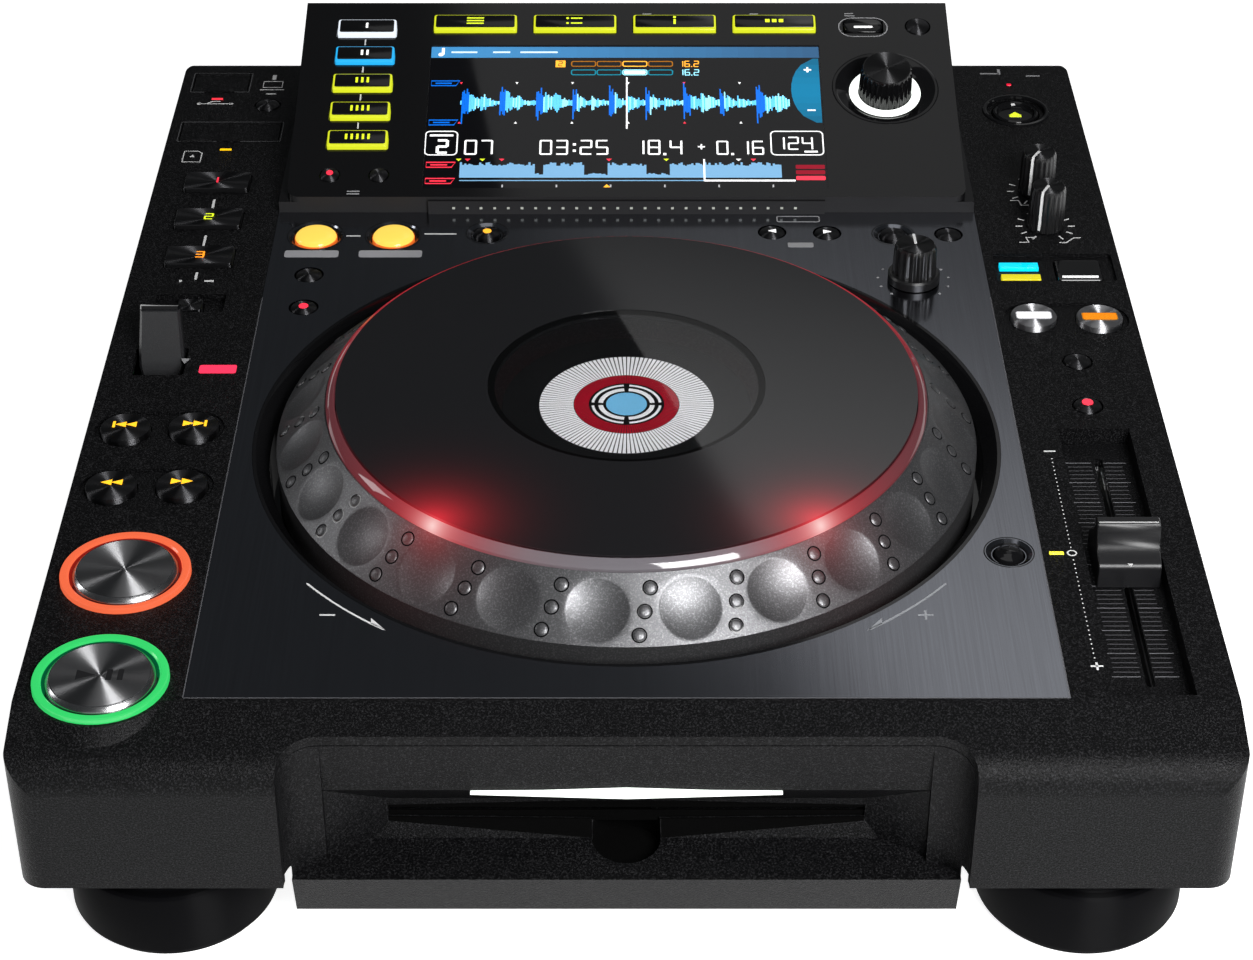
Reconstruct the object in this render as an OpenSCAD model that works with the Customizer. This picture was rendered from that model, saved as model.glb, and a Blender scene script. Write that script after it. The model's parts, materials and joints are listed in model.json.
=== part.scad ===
// Tabletop disc player for mixing: slot-in drive, large jog wheel, tilted display and deck controls.
// Millimetres. X runs to the right, Y to the rear, Z up. The table is at z = 0, the origin is under the middle.

/* [Jog wheel] */
// Diameter of the jog dial
jog_d = 206; // [200:1:212]
// Width of the dark gutter between the dial and the control plate
well_gap = 7.1; // [6.5:0.1:8]
// Height of the platter's top face above the deck
platter_rise = 17.9; // [17:0.1:19]
// Width of the dial's sloping flank, seen from above
flank_w = 15.2; // [14:0.1:16]
// Width of the clear ring around the platter
light_ring_w = 2.6; // [2.2:0.1:3]
// Radius of the clear window in the platter
window_r = 40.6; // [39:0.1:42]
// Number of finger dimples around the dial
dimple_count = 24; // [18:1:26]
// Diameter of one finger dimple
dimple_d = 17.6; // [15:0.1:18]
// Depth of one finger dimple
dimple_depth = 1.5; // [1:0.1:1.8]
// Travel of the touch-sensitive platter
platter_travel = 0.4; // [0.3:0.1:0.5]
// Radius of the fixed post that the jog wheel turns on
post_r = 14; // [12:0.5:16]

/* [Body] */
// Width of the control column on each side of the plate
column_w = 44.1; // [43.5:0.1:48]
// Strip of plate left beside the well
plate_side = 5.8; // [5:0.1:8]
// Strip of plate left in front of the well
plate_front = 13.2; // [12:0.1:16]
// Strip of plate left behind the well
plate_rear = 21.4; // [20:0.1:24]
// Depth of the apron in front of the plate
apron_d = 23.3; // [22.5:0.1:25]
// Depth of the display housing on the deck
display_d = 103; // [101:0.5:106]
// Depth of the bare deck behind the display housing
rear_d = 6.9; // [6:0.1:12]
// Height of the flat deck above the table
deck_z = 75.3; // [74:0.1:78]
// Height of the body's bottom edge above the table
base_z = 30; // [29:0.5:31]
// Wall thickness of the moulded top cover
wall = 2.8; // [2.4:0.1:3.2]
// Slope of the front apron in degrees
apron_slope = 15; // [12:0.5:18]
// Radius of the long front edge
nose_r = 10; // [8:0.5:11]
// Radius of the rear vertical corners
corner_r = 7; // [4:0.5:10]
// Thickness of the control plate
plate_t = 1.5; // [1.2:0.1:1.8]
// Radius of a foot
foot_r = 28.4; // [26:0.1:30]
// Height of the gap between a foot's rim and the body
foot_neck = 8; // [6:0.5:10]
// Reach of the rear sockets past the rear face
socket_out = 10; // [8:0.5:12]

/* [Disc slot] */
// Half width of the recess in the front
recess_half = 90.2; // [88:0.1:92]
// Half width of the disc slot
slot_half = 63.8; // [62.5:0.1:66]
// Height of the disc slot
slot_h = 6; // [5:0.5:7]
// Height of the disc's plane above the table
disc_z = 37.5; // [37:0.1:38.5]
// Drop of the lip below the body
lip_drop = 16; // [14:0.5:18]
// Radius of the finger notch in the shelf
notch_r = 9.2; // [8:0.1:11]

/* [Display] */
// Step from the plate's edge to the display face on each side
face_inset = 2.9; // [0.9:0.1:4.9]
// Tilt of the display face in degrees
face_tilt = 14.8; // [13:0.1:15.5]
// Depth of the display face, measured along the slope
face_len = 98.2; // [96:0.1:99.5]
// Height of the face's front edge above the deck
face_rise = 5.9; // [5:0.1:7]
// Thickness of the housing's face
face_t = 2.5; // [2.2:0.1:3]
// Width of the screen window
screen_w = 135.4; // [130:0.1:138]
// Height of the screen window along the slope
screen_h = 71.6; // [68:0.1:74]

/* [Keys and knobs] */
// Clearance around each key
key_gap = 0.35; // [0.3:0.05:0.45]
// Travel of the small keys
key_travel = 0.5; // [0.4:0.1:0.6]
// Travel of the two transport buttons
transport_travel = 0.8; // [0.6:0.1:0.9]
// Radius of a transport button
transport_r = 14.6; // [13.5:0.1:15]
// Radius of a search key
search_r = 7.4; // [6.5:0.1:7.8]
// Length of the tempo fader's travel
fader_travel = 100; // [94:1:102]
// Width of the fader cap
fader_cap_w = 17.5; // [16:0.1:18]
// Depth of the fader cap
fader_cap_d = 20; // [18:0.5:22]
// Height of the speed knobs above the deck
speed_knob_h = 15.5; // [13:0.5:18]
// Height of the direction lever above the deck
lever_h = 16; // [14:0.5:18]

/* [Hidden] */
$fn = 64;

clear = 0.3;       // gap between a moving piece and what it passes
fit = 0.05;        // radial clearance of a running fit
tiny = 0.01;       // overlap of a cut past the face that it opens

// Plan of the body, worked outwards from the jog wheel
jog_r = jog_d / 2;
well_r = jog_r + well_gap;
plate_w = 2 * (well_r + plate_side);
body_w = plate_w + 2 * column_w;
plate_d = plate_front + 2 * well_r + plate_rear;
body_d = apron_d + plate_d + display_d + rear_d;
front_y = -(body_d + socket_out) / 2;
rear_y = front_y + body_d;
plate_y = front_y + apron_d;
jog_y = plate_y + plate_front + well_r;
display_y = plate_y + plate_d;
left_x = -body_w / 2;
right_x = body_w / 2;
slope_y = plate_y - 1.1;           // where the apron starts to fall away

// Heights
plate_bed = deck_z - plate_t;      // face that the plate lies on
deck_under = deck_z - wall;        // underside of the deck at the columns
bed_under = plate_bed - wall;      // underside of the deck below the plate
board_t = 1.6;
switch_h = 4;
switch_top = deck_z - 7.9;         // top of the tact switches under the deck keys
board_top = switch_top - switch_h;
flange_t = 1.2;
flange_w = 1;                      // how far a key's flange reaches past its cap
post_half = 2.5;
pan_t = 2;
belly_z = base_z - lip_drop;

// Slot and drive, worked back from the front
mouth_y = front_y + 22;            // plane of the slot's mouth
mouth_z = disc_z;
lip_back_gap = 4.2;                // from the lip block's back to the slot's mouth
panel_back = mouth_y + 6;
shelf_z = belly_z + 14.5;
shelf_under = shelf_z - 4;
drive_y = panel_back + 1;
roller_y = drive_y + 7;
spindle_y = mouth_y + 78;

// Height of the deck or apron at a place along Y
function deck_at(y) = y < slope_y ? deck_z - (slope_y - y) * tan(apron_slope) : deck_z;

// ---------- shared shapes ----------

module round_rect(w, d, r) {
    square([w, d - 2 * r], center = true);
    square([w - 2 * r, d], center = true);
    for (sx = [-1, 1], sy = [-1, 1]) {
        translate([sx * (w / 2 - r), sy * (d / 2 - r)]) circle(r);
    }
}

module block(w, d, h, r) {
    linear_extrude(h) round_rect(w, d, r);
}

module tube(outer, inner, h) {
    difference() {
        cylinder(h = h, r = outer);
        translate([0, 0, -1]) cylinder(h = h + 2, r = inner);
    }
}

// Two round ends joined by a bar, as a shallow pocket for a pair of keys
module capsule(a, b, r, h) {
    mid = (a + b) / 2;
    translate([a[0], a[1], 0]) cylinder(h = h, r = r);
    translate([b[0], b[1], 0]) cylinder(h = h, r = r);
    translate([mid[0] - abs(a[0] - b[0]) / 2, mid[1] - r, 0]) cube([abs(a[0] - b[0]), 2 * r, h]);
}

// Side profile of the body, moved inwards by inset
module body_profile(inset) {
    a = apron_slope;
    r = nose_r - inset;
    cy = front_y + nose_r;
    cz = deck_at(cy) - nose_r / cos(a);
    top = deck_z - inset;
    knee = slope_y + inset * tan(a / 2);
    rear = rear_y - inset;
    polygon([
        [front_y + inset, base_z - (inset > 0 ? 40 : 0)],
        [front_y + inset, cz],
        [cy, cz],
        [cy - r * sin(a), cz + r * cos(a)],
        [knee, top],
        [rear - rear_edge_r, top],
        [rear - rear_edge_r, top - rear_edge_r],
        [rear, top - rear_edge_r],
        [rear, base_z - (inset > 0 ? 40 : 0)]
    ]);
    translate([cy, cz]) circle(r);
    translate([rear - rear_edge_r, top - rear_edge_r]) circle(rear_edge_r);
}
rear_edge_r = 3;

// The body's solid form, as wide as w and moved inwards by inset
module body_form(inset) {
    w = body_w - 2 * inset;
    d = body_d - 2 * inset;
    r = corner_r - inset / 2;
    intersection() {
        translate([-w / 2, 0, 0]) rotate([90, 0, 90]) linear_extrude(w) body_profile(inset);
        translate([0, (front_y + rear_y) / 2, 0]) linear_extrude(2 * deck_z) round_rect(w, d, r);
    }
}

// A moulded key: cap through the cover, flange under it, stem down to a switch
// top is the cap's top face, under is the cover's underside
module round_key(pos, r, top, under, travel) {
    translate([pos[0], pos[1], 0]) {
        translate([0, 0, under - clear - flange_t]) {
            cylinder(h = top - under + clear + flange_t, r = r);
            cylinder(h = flange_t, r = r + flange_w);
        }
        stem_z = switch_top + travel + clear;
        translate([0, 0, stem_z]) cylinder(h = under - clear - stem_z, r = 1.6);
    }
}

module block_key(pos, w, d, top, under, travel) {
    translate([pos[0], pos[1], 0]) {
        flange_z = under - clear - flange_t;
        translate([0, 0, flange_z]) block(w, d, top - flange_z, 0.8);
        translate([0, 0, flange_z]) block(w + 2 * flange_w, d + 2 * flange_w, flange_t, 0.8);
        stem_z = switch_top + travel + clear;
        translate([0, 0, stem_z]) cylinder(h = flange_z - stem_z + tiny, r = 1.6);
    }
}

// Bore in the deck for a round key, as wide as the key and its gap
module key_bore(pos, r) {
    translate([pos[0], pos[1], bed_under - 1]) cylinder(h = deck_z - bed_under + 2, r = r + key_gap);
}

module key_slot(pos, w, d) {
    translate([pos[0], pos[1], bed_under - 1]) {
        block(w + 2 * key_gap, d + 2 * key_gap, deck_z - bed_under + 2, 0.8);
    }
}

// ---------- places of the controls ----------

// Left column
usb_door_pos = [left_x + 14.2, rear_y - 15.8];
usb_door_size = [19.3, 15.5];
usb_led_pos = [left_x + 14, rear_y - 28.4];
usb_stop_pos = [left_x + 32.5, rear_y - 33.3];
usb_stop_r = 4.4;
sd_door_pos = [left_x + 21.6, rear_y - 53.1];
sd_door_size = [34.2, 14.8];
sd_led_pos = [left_x + 21.3, rear_y - 66.1];
hot_cue_size = [22, 11.4];
hot_cue_x = left_x + 21.4;
hot_cue_y = [for (k = [0:2]) rear_y - 90.4 - 24.8 * k];
record_pocket = [22.1, 10.8];
record_pos = [left_x + 21.6, rear_y - 167.7];
record_size = [7.8, 7];
lever_pos = [left_x + 16.7, front_y + 186];
lever_slot = [16.2, 15.4];
track_back_pos = [left_x + 11.5, front_y + 148.6];
track_forward_pos = [left_x + 31.6, front_y + 149.2];
search_back_pos = [left_x + 11.6, front_y + 118.7];
search_forward_pos = [left_x + 31.9, front_y + 119.3];
search_pocket_r = 9.2;
pocket_deep = 0.8;
cue_pos = [left_x + 21.8, front_y + 77.2];
play_pos = [left_x + 21.9, front_y + 30.7];
ring_r = 18;
ring_inner_r = 15.5;
ring_rise = 1.6;
collar_h = 6;                      // height of the play button's sloping collar

// Control plate
loop_in_pos = [-plate_w / 2 + 13.7, display_y - 15.3];
loop_out_pos = [-plate_w / 2 + 39.2, display_y - 15.2];
reloop_pos = [-plate_w / 2 + 70, display_y - 13.6];
loop_r = 7.2;
reloop_r = 4.3;
loop_mode_pos = [-plate_w / 2 + 13.7, display_y - 40.4];
slip_pos = [-plate_w / 2 + 13.8, display_y - 60.4];
small_r = 4.4;
call_back_pos = [plate_w / 2 - 67.9, display_y - 13.2];
call_forward_pos = [plate_w / 2 - 49.8, display_y - 13.7];
delete_pos = [plate_w / 2 - 28.1, display_y - 14.4];
memory_pos = [plate_w / 2 - 9.9, display_y - 14.6];
jog_adjust_pos = [plate_w / 2 - 23.8, display_y - 43.6];
tempo_reset_pos = [plate_w / 2 - 9.2, jog_y - 59.2];
dish_r = 7;
dish_deep = 1.1;

// Right column
standby_pos = [right_x - 22.4, rear_y - 17.5];
eject_pos = [right_x - 22.2, rear_y - 37.6];
eject_ring_r = 11.8;
eject_r = 8.2;
touch_knob_pos = [right_x - 21.8, rear_y - 95.6];
release_knob_pos = [right_x - 21.5, rear_y - 119.1];
speed_knob_r = 6;
mode_pocket_pos = [right_x - 21.7, rear_y - 145.5];
mode_pocket = [38.4, 17];
mode_key_pos = [right_x - 14, rear_y - 146.9];
mode_key_size = [14.5, 12.8];
mode_lamp_x = right_x - 33;
mode_lamp_y = [rear_y - 143.6, rear_y - 151.2];
mode_lamp = [12.6, 4.3];
sync_pos = [right_x - 32, rear_y - 176.5];
master_pos = [right_x - 11.4, rear_y - 177.2];
sync_r = 7.2;
fader_pocket_x = [right_x - 32.2, right_x - 11];
fader_pocket_y = [front_y + 24.7, front_y + 149.2];
master_tempo_pos = [right_x - 21.6, fader_pocket_y[1] + 12.2];
tempo_range_pos = [right_x - 21.5, master_tempo_pos[1] + 24.6];
fader_floor = deck_z - 5.5;
fader_x = right_x - 20.9;
fader_y = front_y + 88;
fader_slot_w = 2.4;
zero_lamp_pos = [right_x - 40.1, front_y + 87];

// Display face
face_w = plate_w - 2 * face_inset;
face_half = face_w / 2;
face_y = display_y;
face_z = deck_z + face_rise;
source_x = 22 - face_half;
source_s = [for (k = [0:4]) 83.9 - 14.2 * k];
source_size = [20.3, 8];
menu_x = [for (k = [0:3]) -53.1 + 35 * k];
menu_s = 86.4;
menu_size = [29, 8];
key_proud = 1.6;
quantize_pos = [13.7 - face_half, 10.4];
time_mode_pos = [30.1 - face_half, 10.4];
face_key_r = 3.2;
back_pos = [face_half - 29.9, 85.7];
back_size = [13.6, 7];
tag_pos = [face_half - 10.7, 85.5];
tag_r = 4.2;
selector_pos = [face_half - 23.9, 53.7];
selector_dish_r = 18.4;
selector_dish_deep = 3;
selector_r = 8.3;
selector_h = 9.8;
screen_pos = [-0.5, 40];
face_board_n = -10.5;             // depth of the display's key board under the face
face_switch_h = 3;

module on_face(x, s) {
    translate([0, face_y, face_z]) rotate([face_tilt, 0, 0]) translate([x, s, 0]) children();
}

module face_bore(pos, r) {
    on_face(pos[0], pos[1]) translate([0, 0, -2 * face_t]) cylinder(h = 4 * face_t, r = r + key_gap);
}

module face_slot(pos, size) {
    on_face(pos[0], pos[1]) translate([0, 0, -2 * face_t]) {
        block(size[0] + 2 * key_gap, size[1] + 2 * key_gap, 4 * face_t, 0.8);
    }
}

// ---------- body shells ----------

// Opening in the front, with upright walls and round rear corners
module recess_opening() {
    past = 10;
    straight = recess_half - sweep_r;
    translate([0, 0, base_z - past]) linear_extrude(deck_z) {
        translate([-recess_half, front_y - past]) square([2 * recess_half, panel_y - sweep_r - front_y + past]);
        translate([-straight, front_y - past]) square([2 * straight, panel_y - front_y + past]);
        for (s = [-1, 1]) translate([s * straight, panel_y - sweep_r]) circle(sweep_r);
    }
}

module deck_posts() {
    post_z = board_top;
    for (y = [front_y + 45, front_y + 100, front_y + 164, rear_y - 120, rear_y - 72]) {
        translate([left_x + 39, y, post_z]) cylinder(h = deck_under - post_z + tiny, r = post_half);
    }
    for (y = [rear_y - 215, rear_y - 160, rear_y - 108, rear_y - 60]) {
        translate([right_x - 39, y, post_z]) cylinder(h = deck_under - post_z + tiny, r = post_half);
    }
}

// Sloping collar of the play button, where the apron falls away from it
module play_collar() {
    intersection() {
        translate([play_pos[0], play_pos[1], deck_z - collar_h]) {
            cylinder(h = collar_h, r1 = ring_r + 1 + collar_h, r2 = ring_r + 1);
        }
        translate([left_x + wall, front_y, 0]) cube([body_w / 2, body_d, deck_z]);
    }
}

module display_cutout() {
    translate([0, display_y + 6 + (display_d - 24) / 2, bed_under - 1]) {
        block(face_w - 16, display_d - 24, deck_z, 3);
    }
}

// Pocket that the tempo fader's cap slides in
module fader_pocket() {
    w = fader_pocket_x[1] - fader_pocket_x[0];
    d = fader_pocket_y[1] - fader_pocket_y[0];
    translate([fader_pocket_x[0], fader_pocket_y[0], fader_floor]) cube([w, d, deck_z - fader_floor + 1]);
}

module fader_tray() {
    w = fader_pocket_x[1] - fader_pocket_x[0];
    d = fader_pocket_y[1] - fader_pocket_y[0];
    translate([fader_pocket_x[0] - wall, fader_pocket_y[0] - wall, fader_floor - wall]) {
        cube([w + 2 * wall, d + 2 * wall, wall + 5]);
    }
}

module door_recess(pos, size) {
    w = size[0] + 2 * key_gap;
    y0 = pos[1] - size[1] / 2 - key_gap;
    y1 = pos[1] + size[1] / 2 + key_gap;
    translate([pos[0] - w / 2, y0, deck_z - door_deep]) cube([w, y1 - y0, door_deep + 1]);
    // blind bores for the hinge pins
    translate([pos[0] - w / 2 - 1.2, pos[1] + size[1] / 2 - hinge_r, deck_z - hinge_down]) {
        rotate([0, 90, 0]) cylinder(h = w + 2.4, r = pin_r + fit);
    }
}
door_deep = 4.5;
door_t = 1.8;
hinge_r = 1.3;
hinge_down = 1;
pin_r = 0.7;
usb_port = [13.2, 5.6];
sd_port = [25, 3];

module door_well(pos, size) {
    translate([pos[0] - size[0] / 2 - 3, pos[1] - size[1] / 2 - 3, deck_z - door_deep - wall]) {
        cube([size[0] + 6, size[1] + 6, door_deep]);
    }
}

module top_cover() {
    color([0.06, 0.06, 0.065]) difference() {
        union() {
            difference() {
                body_form(0);
                body_form(wall);
                // bed for the control plate and the display housing
                translate([-plate_w / 2, plate_y, plate_bed]) cube([plate_w, plate_d, 5]);
            }
            intersection() {
                body_form(0);
                union() {
                    fader_tray();
                    door_well(usb_door_pos, usb_door_size);
                    door_well(sd_door_pos, sd_door_size);
                    translate([record_pos[0] - 14, record_pos[1] - 8, deck_under - 2]) cube([28, 16, 3]);
                    translate([mode_pocket_pos[0] - 21, mode_pocket_pos[1] - 10, deck_under - 2]) cube([40, 20, 3]);
                    // thicker bed under the plate
                    translate([-plate_w / 2 - 1, plate_y - 1, bed_under]) cube([plate_w + 2, plate_d + 1, wall]);
                }
            }
            deck_posts();
            play_collar();
        }
        recess_opening();
        translate([0, jog_y, bed_under - 1]) cylinder(h = wall + 2, r = well_r - 1.6);
        display_cutout();
        fader_pocket();
        translate([fader_x, fader_y, fader_floor - wall - 1]) {
            block(fader_slot_w, fader_travel + 6.4, wall + 2, 1);
        }
        // left column
        door_recess(usb_door_pos, usb_door_size);
        door_recess(sd_door_pos, sd_door_size);
        translate([usb_door_pos[0], usb_door_pos[1] - 1.5, deck_z - 12]) block(usb_port[0], usb_port[1], 12, 0.5);
        translate([sd_door_pos[0], sd_door_pos[1] - 1.5, deck_z - 12]) block(sd_port[0], sd_port[1], 12, 0.5);
        key_bore(usb_stop_pos, usb_stop_r);
        for (y = hot_cue_y) key_slot([hot_cue_x, y], hot_cue_size[0], hot_cue_size[1]);
        translate([record_pos[0], record_pos[1], deck_z - 2.4]) block(record_pocket[0], record_pocket[1], 3, 1);
        key_slot(record_pos, record_size[0], record_size[1]);
        translate([lever_pos[0], lever_pos[1], deck_under - 1]) block(lever_slot[0], lever_slot[1], wall + 2, 1);
        for (p = [[track_back_pos, track_forward_pos], [search_back_pos, search_forward_pos]]) {
            translate([0, 0, deck_z - pocket_deep]) capsule(p[0], p[1], search_pocket_r, 2);
            key_bore(p[0], search_r);
            key_bore(p[1], search_r);
        }
        for (p = [cue_pos, play_pos]) {
            translate([p[0], p[1], bed_under - 8]) cylinder(h = 20, r = ring_r + 0.1);
        }
        // plate keys
        for (p = [loop_in_pos, loop_out_pos]) key_bore(p, loop_r);
        key_bore(reloop_pos, reloop_r);
        for (p = [loop_mode_pos, slip_pos, call_back_pos, call_forward_pos, memory_pos]) key_bore(p, small_r);
        key_bore(delete_pos, reloop_r);
        key_bore(tempo_reset_pos, reloop_r);
        key_bore(jog_adjust_pos, 3);
        // right column
        translate([eject_pos[0], eject_pos[1], deck_z - 1.2]) cylinder(h = 3, r = eject_ring_r - 1.6);
        key_bore(eject_pos, eject_r);
        key_bore(touch_knob_pos, 3);
        key_bore(release_knob_pos, 3);
        translate([mode_pocket_pos[0], mode_pocket_pos[1], deck_z - 1.4]) block(mode_pocket[0], mode_pocket[1], 3, 1);
        key_slot(mode_key_pos, mode_key_size[0], mode_key_size[1]);
        translate([0, 0, deck_z - pocket_deep]) capsule(sync_pos, master_pos, search_pocket_r, 2);
        key_bore(sync_pos, sync_r);
        key_bore(master_pos, sync_r);
        key_bore(tempo_range_pos, small_r);
        key_bore(master_tempo_pos, small_r);
        lamp_windows(key_gap / 3);
        rear_opening();
    }
}

// Windows of the deck's lamps, and with no margin the lenses themselves
lamp_t = 2;
module lamp_windows(margin) {
    for (p = [usb_led_pos, sd_led_pos, zero_lamp_pos]) {
        translate([p[0], p[1], deck_z - lamp_t]) {
            linear_extrude(lamp_t - 0.1 + 10 * margin) square([4 + 2 * margin, 1.2 + 2 * margin], center = true);
        }
    }
    translate([standby_pos[0], standby_pos[1], deck_z - lamp_t]) {
        cylinder(h = lamp_t - 0.1 + 10 * margin, r = 0.8 + margin);
    }
    for (y = mode_lamp_y) translate([mode_lamp_x, y, deck_z - 1.4 - lamp_t]) {
        linear_extrude(lamp_t + 0.2 + 10 * margin) {
            square([mode_lamp[0] + 2 * margin, mode_lamp[1] + 2 * margin], center = true);
        }
    }
}

module indicator_lenses() {
    color([0.9, 0.3, 0.25]) lamp_windows(0);
}

// Window in the rear wall for the terminal panel
terminal_w = 250;
terminal_h = 30;
terminal_z = base_z + 20;
flange_back = 1.6;                 // thickness of the terminal panel's flange
module rear_opening() {
    translate([-terminal_w / 2, rear_y - wall - 1, terminal_z - terminal_h / 2]) {
        cube([terminal_w, wall + 2, terminal_h]);
    }
}

// Pan with a belly under the drive
belly_half = 88;
belly_y = mouth_y - lip_back_gap + clear;
belly_d = 205;
pan_gap = 0.2;
foot_x = body_w / 2 - 35.3;
foot_y = [front_y + 32.2, rear_y - 39];

module bottom_case() {
    color([0.1, 0.1, 0.105]) difference() {
        union() {
            // flat floor just inside the cover's walls
            intersection() {
                body_form(wall + pan_gap);
                translate([-body_w / 2, front_y, base_z]) cube([body_w, body_d, pan_t]);
            }
            // belly, behind the panel's lip
            translate([-belly_half, belly_y, belly_z]) cube([2 * belly_half, belly_d, lip_drop + pan_t]);
            // posts under the main and power boards
            for (p = board_posts) translate([p[0], p[1], base_z]) cylinder(h = main_board_z - base_z, r = 3);
        }
        translate([-belly_half + pan_t, belly_y + pan_t, belly_z + pan_t]) {
            cube([2 * (belly_half - pan_t), belly_d - 2 * pan_t, lip_drop + pan_t]);
        }
        // screw holes through the feet's places and along the rear
        for (p = screw_places) translate([p[0], p[1], base_z - 1]) cylinder(h = pan_t + 2, r = screw_r + 0.1);
        // room for the slot panel
        translate([-recess_half - clear, front_y - 1, shelf_under - clear]) {
            cube([2 * (recess_half + clear), panel_back - front_y + 1 + clear, 40]);
        }
    }
}
screw_r = 1.5;
screw_places = [for (x = [left_x + 15, -80, 80, right_x - 15], y = [rear_y - 9]) [x, y]];
main_board_z = 52;
board_posts = [for (x = [-60, 60, right_x - 28], y = [rear_y - 100, rear_y - 24]) [x, y]];

module case_screws() {
    color("silver") for (p = screw_places) translate([p[0], p[1], base_z]) {
        translate([0, 0, -1.8]) cylinder(h = 1.8, r = 3);
        translate([0, 0, -0.5]) cylinder(h = 8, r = screw_r);
    }
}

module feet() {
    rim_z = base_z - foot_neck;
    color([0.05, 0.05, 0.055]) for (sx = [-1, 1], y = foot_y) translate([sx * foot_x, y, 0]) {
        rotate_extrude() polygon([
            [0, 0], [foot_r - 1.2, 0], [foot_r, 1.2], [foot_r, rim_z - 1.5], [foot_r - 1.5, rim_z],
            [foot_r - 3.4, rim_z], [foot_r - 3.4, base_z], [0, base_z]
        ]);
    }
}

module control_plate() {
    color([0.09, 0.09, 0.1]) difference() {
        translate([-plate_w / 2 + 0.1, plate_y + 0.1, plate_bed]) cube([plate_w - 0.2, plate_d - 0.2, plate_t]);
        translate([0, jog_y, plate_bed - 1]) cylinder(h = 4, r = well_r + 0.1);
        for (p = [loop_in_pos, loop_out_pos]) plate_dish(p, dish_r + 1.8, loop_r);
        for (p = [reloop_pos, delete_pos, tempo_reset_pos]) plate_dish(p, dish_r, reloop_r);
        for (p = [loop_mode_pos, slip_pos, call_back_pos, call_forward_pos, memory_pos]) {
            key_bore(p, small_r);
        }
        key_bore(jog_adjust_pos, 3);
    }
}

// A dished opening in the plate around a key
module plate_dish(pos, outer, r) {
    key_bore(pos, r);
    translate([pos[0], pos[1], deck_z - dish_deep]) cylinder(h = dish_deep + 1, r1 = r + 0.6, r2 = outer + 1);
}

module jog_well_ring() {
    color([0.03, 0.03, 0.035]) translate([0, jog_y, 0]) rotate_extrude() polygon([
        [well_r - 2.1, plate_bed],
        [well_r, plate_bed],
        [well_r, deck_z],
        [well_r - 1, deck_z],
        [jog_r + 2.4, deck_z - 5],
        [jog_r + 2.4, well_floor],
        [30, well_floor],
        [30, well_floor - pan_t],
        [jog_r + 2.4 + 1.8, well_floor - pan_t],
        [jog_r + 2.4 + 1.8, deck_z - 6.5],
        [well_r - 2.1, deck_z - 5.5]
    ]);
}

// ---------- jog wheel ----------

well_floor = deck_z - 13;
dial_low = well_floor + 1.6;
platter_z = deck_z + platter_rise;
platter_t = 2.5;
ring_outer = jog_r - flank_w;
ring_inner = ring_outer - light_ring_w;
dial_top = platter_z - 3.6;
dial_lip = deck_z + 0.7;
web_t = 2.5;
flank_t = 3.2;

module jog_bearing_base() {
    color("silver") translate([0, jog_y, 0]) {
        translate([0, 0, well_floor]) cylinder(h = 1.4, r = 38);
        translate([0, 0, well_floor]) cylinder(h = display_seat - well_floor, r = post_r);
        translate([0, 0, well_floor - pan_t - 4]) cylinder(h = pan_t + 4, r = 28);
    }
}
display_seat = platter_z - 12;
center_display_t = 3.6;

module jog_center_display() {
    color("white") translate([0, jog_y, display_seat]) {
        cylinder(h = center_display_t, r = window_r - 4);
        cylinder(h = center_display_t + 0.4, r = 25.6);
    }
}

module jog_dial() {
    flank_out = jog_r;
    flank_in = ring_outer + 0.4;
    rib_out = ring_inner - 0.8;
    touch_seat = platter_z - platter_t - platter_travel - clear;
    tilt = atan2(dial_top - dial_lip, flank_out - flank_in);
    mid_r = (flank_out + flank_in) / 2 + 0.2;
    mid_z = (dial_top + dial_lip) / 2;
    ball_r = (pow(dimple_d / 2, 2) + pow(dimple_depth, 2)) / (2 * dimple_depth);
    color([0.2, 0.2, 0.21]) translate([0, jog_y, 0]) difference() {
        rotate_extrude() polygon([
            [post_r + fit, dial_low],
            [rib_out, dial_low],
            [rib_out, dial_top - 4.5],
            [flank_in - 1, dial_top - 4.5],
            [flank_out - flank_t, dial_lip - 3],
            [flank_out - flank_t, dial_low],
            [flank_out, dial_low],
            [flank_out, dial_lip],
            [flank_in, dial_top],
            [ring_inner, dial_top],
            [ring_inner, touch_seat],
            [rib_out - 4, touch_seat],
            [rib_out - 4, dial_low + web_t],
            [post_r + 8, dial_low + web_t],
            [post_r + 8, display_seat - 1],
            [post_r + fit, display_seat - 1]
        ]);
        for (k = [0:dimple_count - 1]) rotate([0, 0, (k + 0.5) * 360 / dimple_count - 12.2]) {
            translate([mid_r, 0, mid_z]) rotate([0, 90 - tilt, 0]) {
                translate([0, 0, ball_r - dimple_depth]) sphere(ball_r, $fn = 96);
            }
        }
    }
}

module jog_light_ring() {
    color([1, 0.25, 0.2]) translate([0, jog_y, 0]) rotate_extrude() polygon([
        [ring_inner, dial_top],
        [ring_outer, dial_top],
        [ring_outer, dial_top + 0.8],
        [ring_inner + 0.4, platter_z - 0.4],
        [ring_inner, platter_z - 0.6]
    ]);
}

module jog_top_plate() {
    color([0.1, 0.1, 0.11]) translate([0, jog_y, platter_z - platter_t]) difference() {
        cylinder(h = platter_t, r = ring_inner - clear);
        translate([0, 0, -1]) cylinder(h = platter_t + 2, r = window_r - 2);
        translate([0, 0, platter_t - 1.2]) cylinder(h = platter_t, r = window_r);
    }
}

module jog_window() {
    color([0.1, 0.1, 0.1]) translate([0, jog_y, platter_z - 1.2]) cylinder(h = 1.1, r = window_r - 0.05);
}

// ---------- front slot ----------

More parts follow.
